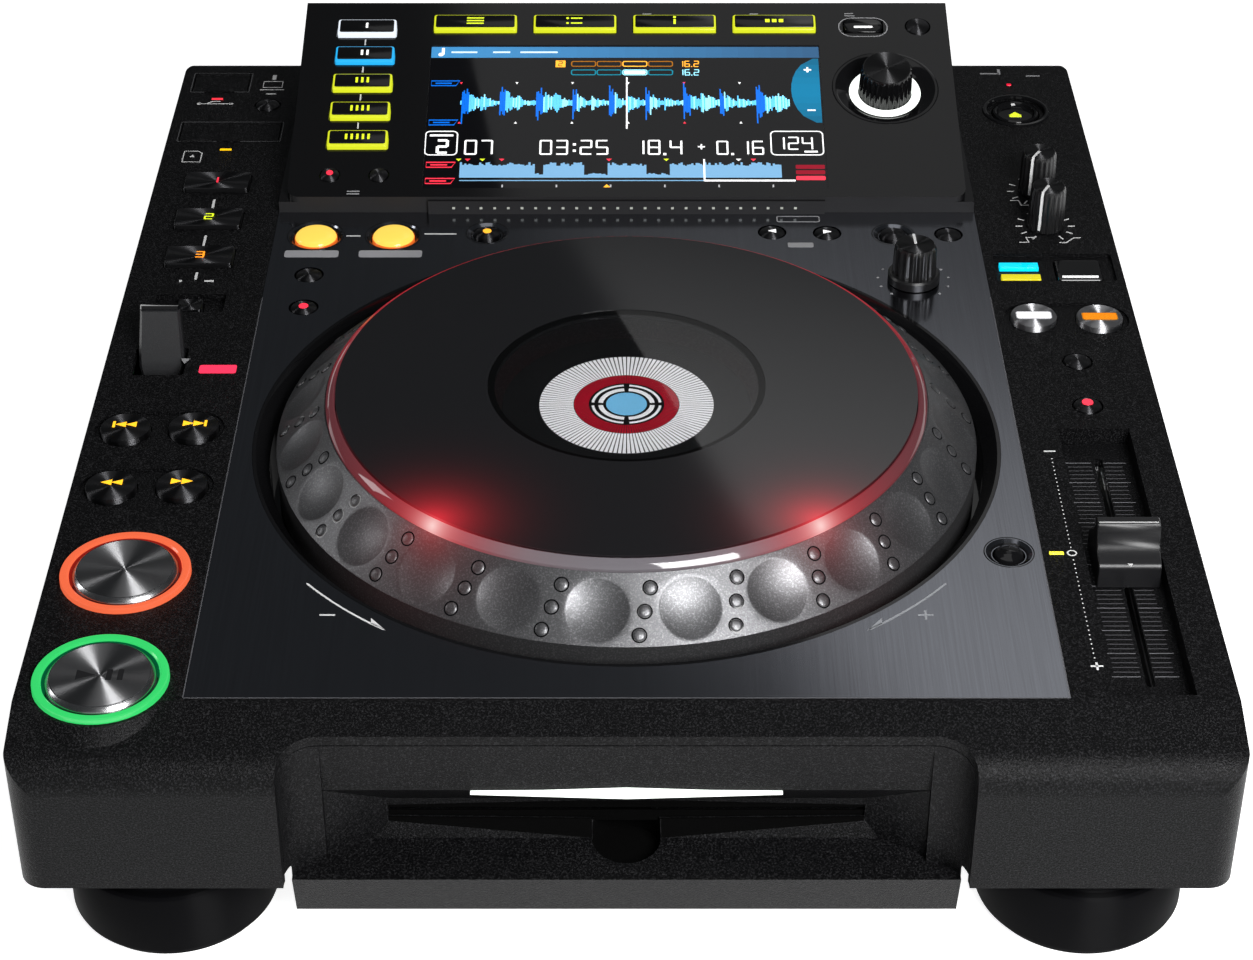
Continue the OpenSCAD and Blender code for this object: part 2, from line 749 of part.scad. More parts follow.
panel_y = front_y + 11.3;
sweep_r = 10.5;                    // radius of the recess's upright corners
side_t = 1.4;                      // thickness of the recess's side walls
lip_front = front_y + 4.9;
lip_back = front_y + 9.1;

module front_slot_panel() {
    half = recess_half - 0.2;
    lip_half = recess_half - 1.6;
    back_y = panel_back;
    panel_top = deck_at(panel_y) - wall / cos(apron_slope) - clear;
    color([0.09, 0.09, 0.095]) difference() {
        union() {
            // tall wall above the slot, with a funnel below its knee
            translate([-half, 0, 0]) rotate([90, 0, 90]) linear_extrude(2 * half) polygon([
                [panel_y, panel_top],
                [panel_y + 1.8, disc_z + 15.2],
                [mouth_y, mouth_z + slot_h / 2 + 1.6],
                [mouth_y, mouth_z],
                [back_y, mouth_z],
                [back_y, panel_top - 9],
                [panel_y + 3, panel_top]
            ]);
            // shelf and lip
            translate([-lip_half, 0, 0]) rotate([90, 0, 90]) linear_extrude(2 * lip_half) polygon([
                [lip_front, shelf_z],
                [lip_back, belly_z],
                [mouth_y - lip_back_gap, belly_z],
                [mouth_y - lip_back_gap, shelf_under],
                [back_y, shelf_under],
                [back_y, mouth_z + tiny],
                [mouth_y, mouth_z + tiny],
                [mouth_y, mouth_z - slot_h / 2],
                [mouth_y - 2, shelf_z + 1.2]
            ]);
            // side cheeks of the funnel
            for (s = [-1, 1]) mirror([s > 0 ? 0 : 1, 0, 0]) {
                translate([0, 0, shelf_under]) linear_extrude(disc_z + 16 - shelf_under) polygon([
                    [half, panel_y + 3],
                    [81, panel_y + 1.9],
                    [slot_half, mouth_y],
                    [slot_half, back_y],
                    [half, back_y]
                ]);
            }
            for (s = [-1, 1]) mirror([s > 0 ? 0 : 1, 0, 0]) recess_corner(lip_half, panel_top);
        }
        // slot, taller towards its middle
        translate([0, mouth_y - 6, 0]) rotate([-90, 0, 0]) mirror([0, 1, 0]) linear_extrude(20) polygon([
            [-slot_half, mouth_z - 2.2], [-notch_r, mouth_z - slot_h / 2], [notch_r, mouth_z - slot_h / 2],
            [slot_half, mouth_z - 2.2], [slot_half, mouth_z + 2.2], [12, mouth_z + slot_h / 2 + 0.8],
            [-12, mouth_z + slot_h / 2 + 0.8], [-slot_half, mouth_z + 2.2]
        ]);
        // finger notch
        translate([0, mouth_y - 2, shelf_z - 3]) cylinder(h = 12, r = notch_r);
        // pocket for the light bar
        light_bar_form(0.05, 0.05);
    }
}

// Side wall and concave corner of the recess, flush with the cover's opening and under its skin
module recess_corner(lip_half, top) {
    wall_z = base_z + pan_t + clear;
    back = panel_y + 3;
    intersection() {
        body_form(wall + clear);
        difference() {
            union() {
                translate([recess_half - sweep_r, panel_y - sweep_r, shelf_z - 1]) {
                    cube([lip_half - recess_half + sweep_r, back - panel_y + sweep_r, top - shelf_z + 1]);
                }
                translate([lip_half - tiny, front_y, wall_z]) {
                    cube([recess_half + side_t - lip_half, back - front_y, top - wall_z]);
                }
            }
            translate([recess_half - sweep_r, panel_y - sweep_r, 0]) cylinder(h = deck_z, r = sweep_r);
        }
    }
}

bar_half = 41;
bar_z = disc_z + 14.2;
module light_bar_form(margin, deeper) {
    translate([0, panel_y + 1.3 - margin, 0]) rotate([-90, 0, 0]) mirror([0, 1, 0]) {
        linear_extrude(6 + margin) polygon([
            [-bar_half - margin, bar_z + 0.2], [0, bar_z + 1.9 + margin], [bar_half + margin, bar_z + 0.2],
            [bar_half + margin, bar_z - 0.2], [0, bar_z - 1.7 - margin], [-bar_half - margin, bar_z - 0.2]
        ]);
    }
}

module slot_light_bar() {
    color("white") light_bar_form(0, 0);
}

// ---------- display ----------

face_back = face_len * cos(face_tilt);
face_top = face_z + face_len * sin(face_tilt);
base_flange = 4;

module housing_form(inset) {
    w = face_w - 2 * inset;
    r = max(4 - inset, 1);
    d = display_d - 2 * inset;
    n = inset / cos(face_tilt);
    intersection() {
        translate([-w / 2, 0, 0]) rotate([90, 0, 90]) linear_extrude(w) polygon([
            [face_y + inset, plate_bed - (inset > 0 ? 9 : 0)],
            [face_y + inset, face_z - n + inset * tan(face_tilt)],
            [face_y + face_back, face_top - n],
            [face_y + display_d - inset, deck_z + 2],
            [face_y + display_d - inset, plate_bed - (inset > 0 ? 9 : 0)]
        ]);
        translate([0, face_y + display_d / 2, 0]) linear_extrude(2 * face_top) round_rect(w, d, r);
    }
}

module display_housing() {
    color([0.05, 0.05, 0.055]) difference() {
        union() {
            translate([0, 0, plate_t]) intersection() {
                translate([0, 0, -plate_t]) housing_form(0);
                translate([-face_w, face_y, deck_z - plate_t]) cube([2 * face_w, display_d, 60]);
            }
            // base flange as wide as the plate, and the ribbon of the search strip
            translate([-plate_w / 2 + 0.2, face_y, deck_z]) cube([plate_w - 0.4, display_d - 1, base_flange]);
            translate([-66, face_y - 1.2, deck_z]) cube([132, 2, face_rise - 1]);
        }
        housing_form(face_t);
        screen_cut();
        for (s = source_s) face_slot([source_x, s], source_size);
        for (x = menu_x) face_slot([x, menu_s], menu_size);
        face_bore(quantize_pos, face_key_r);
        face_bore(time_mode_pos, face_key_r);
        face_slot(back_pos, back_size);
        face_bore(tag_pos, tag_r);
        face_bore(selector_pos, selector_shaft_r);
        on_face(selector_pos[0], selector_pos[1]) {
            translate([0, 0, -selector_dish_deep]) {
                cylinder(h = selector_dish_deep + tiny, r1 = selector_r + 1.5, r2 = selector_dish_r);
            }
        }
    }
    // backing cup of the selector's dish
    color([0.05, 0.05, 0.055]) on_face(selector_pos[0], selector_pos[1]) difference() {
        translate([0, 0, -selector_dish_deep - 1.4]) cylinder(h = 3.2, r = selector_dish_r - 1);
        translate([0, 0, -selector_dish_deep]) {
            cylinder(h = selector_dish_deep + tiny, r1 = selector_r + 1.5, r2 = selector_dish_r);
        }
        translate([0, 0, -9]) cylinder(h = 12, r = selector_shaft_r + key_gap);
    }
}
selector_shaft_r = 3;

module screen_cut() {
    on_face(screen_pos[0], screen_pos[1]) translate([0, 0, -2 * face_t]) {
        block(screen_w, screen_h, 4 * face_t, 0.6);
    }
}

module display_window() {
    color([0.1, 0.2, 0.4]) on_face(screen_pos[0], screen_pos[1]) translate([0, 0, -face_t]) {
        block(screen_w - 0.2, screen_h - 0.2, face_t - 0.4, 0.6);
    }
}

module lcd_module() {
    thick = -face_board_n - board_t - face_t;
    color("gray") on_face(screen_pos[0], screen_pos[1] + 1) translate([0, 0, -face_t - thick]) {
        block(screen_w + 6, screen_h + 1, thick, 0.6);
    }
}

// ---------- inner works ----------

module board(x0, x1, y0, y1, z) {
    translate([x0, y0, z - board_t]) cube([x1 - x0, y1 - y0, board_t]);
}

module switch_at(pos) {
    translate([pos[0] - 3, pos[1] - 3, board_top - tiny]) cube([6, 6, switch_h + tiny]);
}

left_switches = concat(
    [for (y = hot_cue_y) [hot_cue_x, y]],
    [record_pos, track_back_pos, track_forward_pos, search_back_pos, search_forward_pos, cue_pos, play_pos]
);
right_switches = [mode_key_pos, sync_pos, master_pos, tempo_range_pos, master_tempo_pos];

module circuit_boards() {
    inner = wall + 1.2;
    color([0.1, 0.35, 0.15]) {
        // left key board, and the small one for the stop key beside the ports
        difference() {
            board(left_x + inner, left_x + 43.3, front_y + 18, rear_y - 66, board_top);
            translate([lever_pos[0] - 10, lever_pos[1] - 11, board_top - 5]) cube([20, 22, 8]);
        }
        for (p = left_switches) switch_at(p);
        board(usb_stop_pos[0] - 6, usb_stop_pos[0] + 6.5, usb_stop_pos[1] - 7, usb_stop_pos[1] + 7, board_top);
        switch_at(usb_stop_pos);
        // boards under the rear corners of the plate
        difference() {
            union() {
                board(-plate_w / 2 + 1, -plate_w / 2 + 24, slip_pos[1] - 7, display_y - 1, board_top);
                board(-plate_w / 2 + 1, -plate_w / 2 + 78, display_y - 22, display_y - 1, board_top);
            }
            translate([0, jog_y, board_top - 5]) cylinder(h = 10, r = well_r + 0.6);
        }
        for (p = [loop_in_pos, loop_out_pos, reloop_pos, loop_mode_pos, slip_pos]) switch_at(p);
        difference() {
            union() {
                board(plate_w / 2 - 32, plate_w / 2 - 1, jog_adjust_pos[1] - 7, display_y - 1, board_top);
                board(plate_w / 2 - 76, plate_w / 2 - 1, display_y - 22, display_y - 1, board_top);
            }
            translate([0, jog_y, board_top - 5]) cylinder(h = 10, r = well_r + 0.6);
        }
        for (p = [call_back_pos, call_forward_pos, delete_pos, memory_pos]) switch_at(p);
        board(plate_w / 2 - 5 - 9, plate_w / 2 - 0.5, tempo_reset_pos[1] - 5, tempo_reset_pos[1] + 5, board_top);
        switch_at(tempo_reset_pos);
        // right key board and the eject key's board
        board(right_x - 43.3, right_x - inner, fader_pocket_y[1] + 5, rear_y - 58, board_top);
        for (p = right_switches) switch_at(p);
        board(eject_pos[0] - 12, eject_pos[0] + 12, eject_pos[1] - 12, eject_pos[1] + 12, board_top);
        switch_at(eject_pos);
        // potentiometers under the turning knobs
        for (p = [touch_knob_pos, release_knob_pos, jog_adjust_pos]) {
            translate([p[0] - 5, p[1] - 5, board_top - tiny]) cube([10, 10, 5]);
        }
        // port board with the two sockets under the doors
        board(left_x + inner, left_x + 24.5, sd_door_pos[1] - 8, usb_door_pos[1] + 6, port_board_z);
        board(left_x + 20, left_x + 37, sd_door_pos[1] - 8, sd_door_pos[1] + 7, port_board_z);
        port_shell(usb_door_pos, [usb_port[0] + 1.8, usb_port[1] + 1.8], [usb_port[0] - 0.6, usb_port[1] - 0.6]);
        port_shell(sd_door_pos, [sd_port[0] + 3, sd_port[1] + 3], [sd_port[0], sd_port[1] - 0.2]);
        // display's key board and its switches
        on_face(0, 0) {
            translate([9 - face_half, 14, face_board_n]) cube([face_w - 18, 80, board_t]);
            for (p = face_switches) {
                translate([p[0] - 3, p[1] - 3, face_board_n + board_t - tiny]) cube([6, 6, face_switch_h]);
            }
            translate([selector_pos[0] - 6, selector_pos[1] - 6, face_board_n + board_t - tiny]) cube([12, 12, 2]);
        }
        // main board and power supply on the pan's posts
        board(-66, 66, rear_y - 106, rear_y - 20, main_board_z + board_t);
        board(right_x - 86, right_x - 22, rear_y - 106, rear_y - 20, main_board_z + board_t);
    }
    color("silver") {
        translate([-40, rear_y - 80, main_board_z + board_t - tiny]) cube([28, 28, 6]);
        translate([10, rear_y - 70, main_board_z + board_t - tiny]) cube([20, 20, 3]);
        translate([right_x - 76, rear_y - 90, main_board_z + board_t - tiny]) cube([30, 26, 12]);
    }
}
port_board_z = deck_z - 20;
module port_shell(pos, outer, inner) {
    top = deck_z - door_deep - wall - 0.1;
    translate([pos[0], pos[1] - 1.5, port_board_z - tiny]) difference() {
        block(outer[0], outer[1], top - port_board_z, 0.5);
        translate([0, 0, 1]) block(inner[0], inner[1], 30, 0.3);
    }
}
face_switches = concat(
    [for (s = source_s) [source_x, s]],
    [for (x = menu_x) [x, menu_s]],
    [back_pos, tag_pos]
);

// Slot-in disc drive: a tray under the disc, a bridge over it
drive_half = 68;
drive_d = 150;
module drive_frame() {
    z0 = belly_z + pan_t;
    color("silver") {
        translate([-drive_half, drive_y, z0]) cube([2 * drive_half, drive_d, 1.5]);
        for (s = [-1, 1]) translate([s * (drive_half - 0.75) - 0.75, drive_y, z0]) {
            cube([1.5, drive_d, disc_z + 11 - z0]);
        }
        difference() {
            translate([-drive_half, drive_y, disc_z + 11 - 1.5]) cube([2 * drive_half, drive_d, 1.5]);
            translate([0, spindle_y, disc_z]) cylinder(h = 20, r = 16);
        }
        // rods of the laser sledge, between two brackets
        for (s = [-1, 1]) translate([s * rod_x, rod_y - tiny, rod_z]) rotate([-90, 0, 0]) {
            cylinder(h = rod_len + 2 * tiny, r = rod_r);
        }
        for (y = [rod_y - bracket_t, rod_y + rod_len]) translate([-rod_x - 5, y, z0]) {
            cube([2 * rod_x + 10, bracket_t, rod_z - z0 + 3]);
        }
        // spindle motor
        translate([0, spindle_y, z0]) tube(12, 1.5 + fit, 9);
        // bearing blocks of the loading roller
        for (s = [-1, 1]) translate([s * (drive_half - 2.2) - 1, roller_y - 4, z0]) difference() {
            cube([2, 8, roller_z - z0 + 4]);
            translate([-1, 4, roller_z - z0]) rotate([0, 90, 0]) cylinder(h = 5, r = 1.5 + fit);
        }
    }
}
bracket_t = 2.4;
rod_x = 18;
rod_y = spindle_y + 17;
rod_z = belly_z + pan_t + 8;
rod_r = 1.5;
sledge_d = 14;
sledge_travel = 35;
rod_len = sledge_d + sledge_travel + 2 * clear;

module laser_pickup() {
    color([0.2, 0.2, 0.22]) translate([0, rod_y + clear, 0]) difference() {
        union() {
            translate([-rod_x - 4, 0, rod_z - 3]) cube([2 * rod_x + 8, sledge_d, 6]);
            translate([0, sledge_d / 2, rod_z + 3 - tiny]) cylinder(h = 2.5, r = 5);
        }
        for (s = [-1, 1]) translate([s * rod_x, -1, rod_z]) rotate([-90, 0, 0]) {
            cylinder(h = sledge_d + 2, r = rod_r + fit);
        }
    }
}

roller_r = 3.2;
roller_z = disc_z - slot_h / 2 - roller_r;

module disc_spindle() {
    z0 = belly_z + pan_t;
    color([0.15, 0.15, 0.16]) translate([0, spindle_y, 0]) {
        translate([0, 0, z0 + 1.5 + tiny]) cylinder(h = disc_z - z0 - 3, r = 1.5);
        translate([0, 0, disc_z - 3.6]) cylinder(h = 3, r = 15);
        translate([0, 0, disc_z - 1]) cylinder(h = 2.4, r = 7.4);
    }
}

module loading_roller() {
    color([0.2, 0.2, 0.22]) translate([0, roller_y, roller_z]) rotate([0, 90, 0]) {
        translate([0, 0, 1.8 - drive_half]) cylinder(h = 2 * (drive_half - 1.8), r = 1.5);
        translate([0, 0, 8 - drive_half]) cylinder(h = 2 * (drive_half - 8), r = roller_r);
    }
}

module rear_terminal_panel() {
    y0 = rear_y - wall;
    color([0.12, 0.12, 0.13]) difference() {
        union() {
            translate([-terminal_w / 2 + 0.2, y0 - tiny, terminal_z - terminal_h / 2 + 0.2]) {
                cube([terminal_w - 0.4, 1.5 + tiny, terminal_h - 0.4]);
            }
            // flange behind the cover's rear wall
            translate([-terminal_w / 2 - 3, y0 - flange_back, terminal_z - terminal_h / 2 + 0.2]) {
                cube([terminal_w + 6, flange_back, terminal_h - 0.4]);
            }
            // housings behind the sockets
            translate([mains_x - 15, y0 - 14, terminal_z - 11]) cube([30, 14, 22]);
            translate([network_x - 9, y0 - 14, terminal_z - 8.5]) cube([18, 14, 17]);
            translate([usb_b_x - 8, y0 - 12, terminal_z - 7.5]) cube([16, 12, 15]);
            // box of the power switch
            translate([power_x - 9, y0 - switch_box, terminal_z - 9]) cube([18, switch_box, 18]);
        }
        translate([power_x, y0 - switch_box + flange_back, terminal_z]) rotate([-90, 0, 0]) {
            cylinder(h = switch_box + wall, r = power_r + clear);
            cylinder(h = switch_box - 2 * flange_back, r = power_r + flange_w + clear);
        }
        translate([mains_x - 11.5, y0 - 10, terminal_z - 7]) cube([23, 20, 14]);
        translate([network_x - 6.5, y0 - 11, terminal_z - 5]) cube([13, 20, 10]);
        translate([usb_b_x - 4.3, y0 - 9, terminal_z - 4]) cube([8.6, 20, 8]);
        translate([control_x, y0 + 3, terminal_z]) rotate([90, 0, 0]) cylinder(h = 14, r = 1.8);
    }
    // phono sockets and the power switch's housing
    color([0.7, 0.7, 0.7]) for (x = phono_x) translate([x, y0 + 1.5 - tiny, terminal_z]) rotate([-90, 0, 0]) {
        cylinder(h = 2, r = 5.2);
        difference() {
            cylinder(h = rear_y + socket_out - y0 - 1.5 + tiny, r = 4.1);
            translate([0, 0, 3]) cylinder(h = 20, r = 1.6);
        }
    }
    color([0.12, 0.12, 0.13]) translate([power_x, y0 + 1.5 - tiny, terminal_z]) rotate([-90, 0, 0]) {
        tube(7.4, power_r + clear, 2.4);
    }
}

power_r = 5.4;
power_proud = 3.6;
power_stem = 4;
switch_box = 16;                   // depth of the power switch's box behind the rear wall
module power_button() {
    behind = flange_back + flange_t + clear;
    color([0.06, 0.06, 0.06]) translate([power_x, rear_y - wall - behind, terminal_z]) rotate([-90, 0, 0]) {
        cylinder(h = behind + wall + power_proud, r = power_r);
        cylinder(h = flange_t, r = power_r + flange_w);
        translate([0, 0, -power_stem]) cylinder(h = power_stem + tiny, r = 2);
    }
}
power_x = terminal_w / 2 - 10;
mains_x = power_x - 29;
usb_b_x = 35 - terminal_w / 2;
network_x = usb_b_x + 30;
control_x = mains_x - 42;
phono_x = [network_x + 36, network_x + 52, network_x + 78];

module fader_unit() {
    top = fader_floor - wall;
    color("silver") difference() {
        translate([fader_x - 8, fader_pocket_y[0] + 3, top - 9]) {
            cube([16, fader_pocket_y[1] - fader_pocket_y[0] - 6, 9]);
        }
        translate([fader_x - 6.5, fader_pocket_y[0] + 4.5, top - 7.5]) {
            cube([13, fader_pocket_y[1] - fader_pocket_y[0] - 9, 6]);
        }
        translate([fader_x, fader_y, top - 3]) block(fader_slot_w, fader_travel + 6.4, 4, 1);
    }
}

// ---------- pieces that move ----------

module door(pos, size, notch) {
    w = size[0];
    y1 = pos[1] + size[1] / 2 - hinge_r;
    z = deck_z - hinge_down;
    color([0.08, 0.08, 0.085]) {
        translate([pos[0] - w / 2, pos[1] - size[1] / 2, z - 0.8]) cube([w, size[1] - hinge_r, door_t]);
        translate([pos[0] - w / 2, y1, z]) rotate([0, 90, 0]) cylinder(h = w, r = hinge_r);
        translate([pos[0] - w / 2 - 1.1, y1, z]) rotate([0, 90, 0]) cylinder(h = w + 2.2, r = pin_r);
        // pull for a fingertip
        translate([pos[0] - notch / 2, pos[1] - size[1] / 2, z + door_t - 0.8 - tiny]) cube([notch, 1.6, 0.5]);
    }
}

module usb_door() { door(usb_door_pos, usb_door_size, 9); }
module sd_door() { door(sd_door_pos, sd_door_size, 8); }

module usb_stop_button() {
    color([0.05, 0.05, 0.05]) round_key(usb_stop_pos, usb_stop_r, deck_z + 0.6, deck_under, key_travel);
}

module hot_cue(k) {
    color([0.05, 0.05, 0.05]) {
        block_key([hot_cue_x, hot_cue_y[k]], hot_cue_size[0], hot_cue_size[1], deck_z + 1.6, deck_under, key_travel);
    }
}
module hot_cue_key_1() { hot_cue(0); }
module hot_cue_key_2() { hot_cue(1); }
module hot_cue_key_3() { hot_cue(2); }

module record_key() {
    color([0.05, 0.05, 0.05]) {
        block_key(record_pos, record_size[0], record_size[1], deck_z - 0.4, deck_under - 2, key_travel);
    }
}

lever_pivot = [0, 0, -13];
lever_lean = 22;
lever_t = 4;
module direction_lever() {
    reach = -lever_pivot[2] + lever_h;
    color([0.3, 0.3, 0.32]) translate([lever_pos[0], lever_pos[1], deck_z + lever_pivot[2]]) {
        rotate([-lever_lean, 0, 0]) translate([0, lever_t / 2, 0]) rotate([90, 0, 0]) linear_extrude(lever_t) {
            polygon([[-5, 0], [5, 0], [7, 10], [7, 14], [6, reach], [-6, reach], [-7, 14], [-7, 10]]);
        }
        rotate([0, 90, 0]) translate([0, 0, -9]) cylinder(h = 18, r = 3);
    }
}

module track_search_back() { search_key(track_back_pos); }
module track_search_forward() { search_key(track_forward_pos); }
module search_back() { search_key(search_back_pos); }
module search_forward() { search_key(search_forward_pos); }
module search_key(pos) {
    color([0.08, 0.08, 0.08]) round_key(pos, search_r, deck_z + 1, deck_under, key_travel);
}

module ring_lens(pos) {
    translate([pos[0], pos[1], deck_z - 6]) tube(ring_r, ring_inner_r, 6 + ring_rise);
}
module cue_ring_lens() { color([1, 0.4, 0.25]) ring_lens(cue_pos); }
module play_ring_lens() { color([0.2, 0.9, 0.4]) ring_lens(play_pos); }

module transport_button(pos) {
    low = deck_z - 4;
    translate([pos[0], pos[1], 0]) {
        translate([0, 0, low]) cylinder(h = deck_z + 1.2 - low, r = transport_r);
        translate([0, 0, deck_z + 1.2 - tiny]) cylinder(h = 0.8, r1 = transport_r, r2 = transport_r - 0.8);
        stem_z = switch_top + transport_travel + clear;
        translate([0, 0, stem_z]) cylinder(h = low - stem_z + tiny, r = 3);
    }
}
module cue_button() { color("silver") transport_button(cue_pos); }
module play_button() { color("silver") transport_button(play_pos); }

// Keys of the display face: caps on one carrier strip behind the face
module face_caps(places, size, round) {
    for (p = places) on_face(p[0], p[1]) {
        translate([0, 0, -face_t - clear - flange_t]) {
            if (round > 0) cylinder(h = face_t + clear + flange_t + 0.5, r = round);
            else block(size[0], size[1], face_t + clear + flange_t + key_proud, 0.8);
        }
    }
}

module carrier(x0, x1, s0, s1) {
    on_face(0, 0) translate([x0, s0, -face_t - clear - flange_t]) cube([x1 - x0, s1 - s0, flange_t]);
}

module source_keys() {
    color([0.85, 0.9, 0.4]) {
        face_caps([for (s = source_s) [source_x, s]], source_size, 0);
        carrier(source_x - 11.5, source_x + 11.5, source_s[4] - 5, source_s[0] + 5);
    }
}

module menu_keys() {
    color([0.85, 0.9, 0.4]) {
        face_caps([for (x = menu_x) [x, menu_s]], menu_size, 0);
        carrier(menu_x[0] - 15.5, menu_x[3] + 15.5, menu_s - 4.4, menu_s + 4.4);
    }
}

module display_small_keys() {
    color([0.05, 0.05, 0.05]) {
        face_caps([quantize_pos, time_mode_pos], [0, 0], face_key_r);
        carrier(quantize_pos[0] - 4, time_mode_pos[0] + 4, quantize_pos[1] - 4, quantize_pos[1] + 4);
        face_caps([back_pos], [back_size[0], back_size[1]], 0);
        face_caps([tag_pos], [0, 0], tag_r);
        carrier(back_pos[0] - 7.4, tag_pos[0] + 4.8, back_pos[1] - 3.6, back_pos[1] + 3.6);
    }
}

module selector_shaft() {
    color("silver") on_face(selector_pos[0], selector_pos[1]) translate([0, 0, -5.9]) {
        cylinder(h = 10, r = 2);
        cylinder(h = 1.2, r = 2.6);
    }
}

module selector_knob() {
    color([0.1, 0.1, 0.1]) on_face(selector_pos[0], selector_pos[1]) difference() {
        translate([0, 0, -selector_dish_deep + 0.9]) {
            cylinder(h = selector_h + selector_dish_deep - 0.9 - 0.8, r = selector_r);
            translate([0, 0, selector_h + selector_dish_deep - 1.7 - tiny]) {
                cylinder(h = 0.8, r1 = selector_r, r2 = selector_r - 0.8);
            }
        }
        translate([0, 0, -6]) cylinder(h = 10 + clear, r = 2 + fit);
    }
}

module loop_in_out_buttons() {
    color([1, 0.85, 0.3]) for (p = [loop_in_pos, loop_out_pos]) {
        round_key(p, loop_r, deck_z + 0.6, bed_under, key_travel);
    }
}

module loop_mode_keys() {
    color([0.05, 0.05, 0.05]) {
        for (p = [loop_mode_pos, slip_pos]) round_key(p, small_r, deck_z + 0.2, bed_under, key_travel);
        round_key(reloop_pos, reloop_r, deck_z + 0.2, bed_under, key_travel);
    }
}

module call_memory_keys() {
    color([0.05, 0.05, 0.05]) {
        for (p = [call_back_pos, call_forward_pos, memory_pos]) {
            round_key(p, small_r, deck_z + 0.2, bed_under, key_travel);
        }
        round_key(delete_pos, reloop_r, deck_z + 0.2, bed_under, key_travel);
    }
}

module jog_adjust_knob() {
    color([0.08, 0.08, 0.08]) translate([jog_adjust_pos[0], jog_adjust_pos[1], 0]) {
        translate([0, 0, deck_z + clear]) cylinder(h = 3, r = 8.3);
        translate([0, 0, deck_z + 3]) cylinder(h = 10.5, r = 6.8);
        translate([0, 0, board_top + 5 + clear]) cylinder(h = deck_z - board_top - 4, r = 2.6);
    }
}

module tempo_reset_button() {
    color([0.05, 0.05, 0.05]) round_key(tempo_reset_pos, reloop_r, deck_z + 0.2, bed_under, key_travel);
}

module eject_button() {
    color([0.05, 0.05, 0.05]) round_key(eject_pos, eject_r, deck_z - 0.1, deck_under, key_travel);
}

module speed_knob(pos) {
    color([0.08, 0.08, 0.08]) translate([pos[0], pos[1], 0]) {
        translate([0, 0, deck_z + clear]) cylinder(h = speed_knob_h - clear - 0.6, r = speed_knob_r);
        translate([0, 0, deck_z + speed_knob_h - 0.6 - tiny]) {
            cylinder(h = 0.6, r1 = speed_knob_r, r2 = speed_knob_r - 0.6);
        }
        translate([0, 0, board_top + 5 + clear]) cylinder(h = deck_z - board_top - 4, r = 2.6);
    }
}
module touch_brake_knob() { speed_knob(touch_knob_pos); }
module release_start_knob() { speed_knob(release_knob_pos); }

module jog_mode_key() {
    color([0.05, 0.05, 0.05]) {
        block_key(mode_key_pos, mode_key_size[0], mode_key_size[1], deck_z - 0.2, deck_under - 2, key_travel);
    }
}

module sync_button() {
    color("silver") round_key(sync_pos, sync_r, deck_z + 1, deck_under, key_travel);
}
module master_button() {
    color("silver") round_key(master_pos, sync_r, deck_z + 1, deck_under, key_travel);
}

module tempo_mode_keys() {
    color([0.05, 0.05, 0.05]) for (p = [tempo_range_pos, master_tempo_pos]) {
        round_key(p, small_r, deck_z + 0.2, deck_under, key_travel);
    }
}

module tempo_fader_cap() {
    base = fader_floor + clear;
    half = fader_cap_d / 2;
    ridge = 15.8;
    color([0.05, 0.05, 0.05]) translate([fader_x, fader_y, 0]) {
        translate([-fader_cap_w / 2, 0, 0]) rotate([90, 0, 90]) linear_extrude(fader_cap_w) polygon([
            [-half, base], [half, base], [half, base + 5.5], [half - 3, base + 8.5], [4, base + 10.6],
            [2, base + ridge], [-2, base + ridge], [-4, base + 10.6], [-half + 3, base + 8.5], [-half, base + 5.5]
        ]);
        translate([-0.7, -2.4, fader_floor - wall - 6.6]) cube([1.4, 4.8, base - fader_floor + wall + 7]);
    }
}

top_cover();
bottom_case();
control_plate();
front_slot_panel();
slot_light_bar();
display_housing();
display_window();
lcd_module();
jog_well_ring();
cue_ring_lens();
play_ring_lens();
indicator_lenses();
feet();
circuit_boards();
drive_frame();
rear_terminal_panel();
jog_bearing_base();
jog_center_display();
fader_unit();
case_screws();
jog_dial();
jog_light_ring();
jog_window();
jog_top_plate();
usb_door();
sd_door();
usb_stop_button();
hot_cue_key_1();
hot_cue_key_2();
hot_cue_key_3();
record_key();
direction_lever();
track_search_back();
track_search_forward();
search_back();
search_forward();
cue_button();
play_button();
source_keys();
menu_keys();
display_small_keys();
selector_shaft();
selector_knob();
loop_in_out_buttons();
loop_mode_keys();
call_memory_keys();
jog_adjust_knob();
tempo_reset_button();
eject_button();
touch_brake_knob();
release_start_knob();
jog_mode_key();
sync_button();
master_button();
tempo_mode_keys();
tempo_fader_cap();
loading_roller();
disc_spindle();
laser_pickup();
power_button();
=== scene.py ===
import json
import math
import random

import bmesh
import bpy
from mathutils import Matrix, Vector


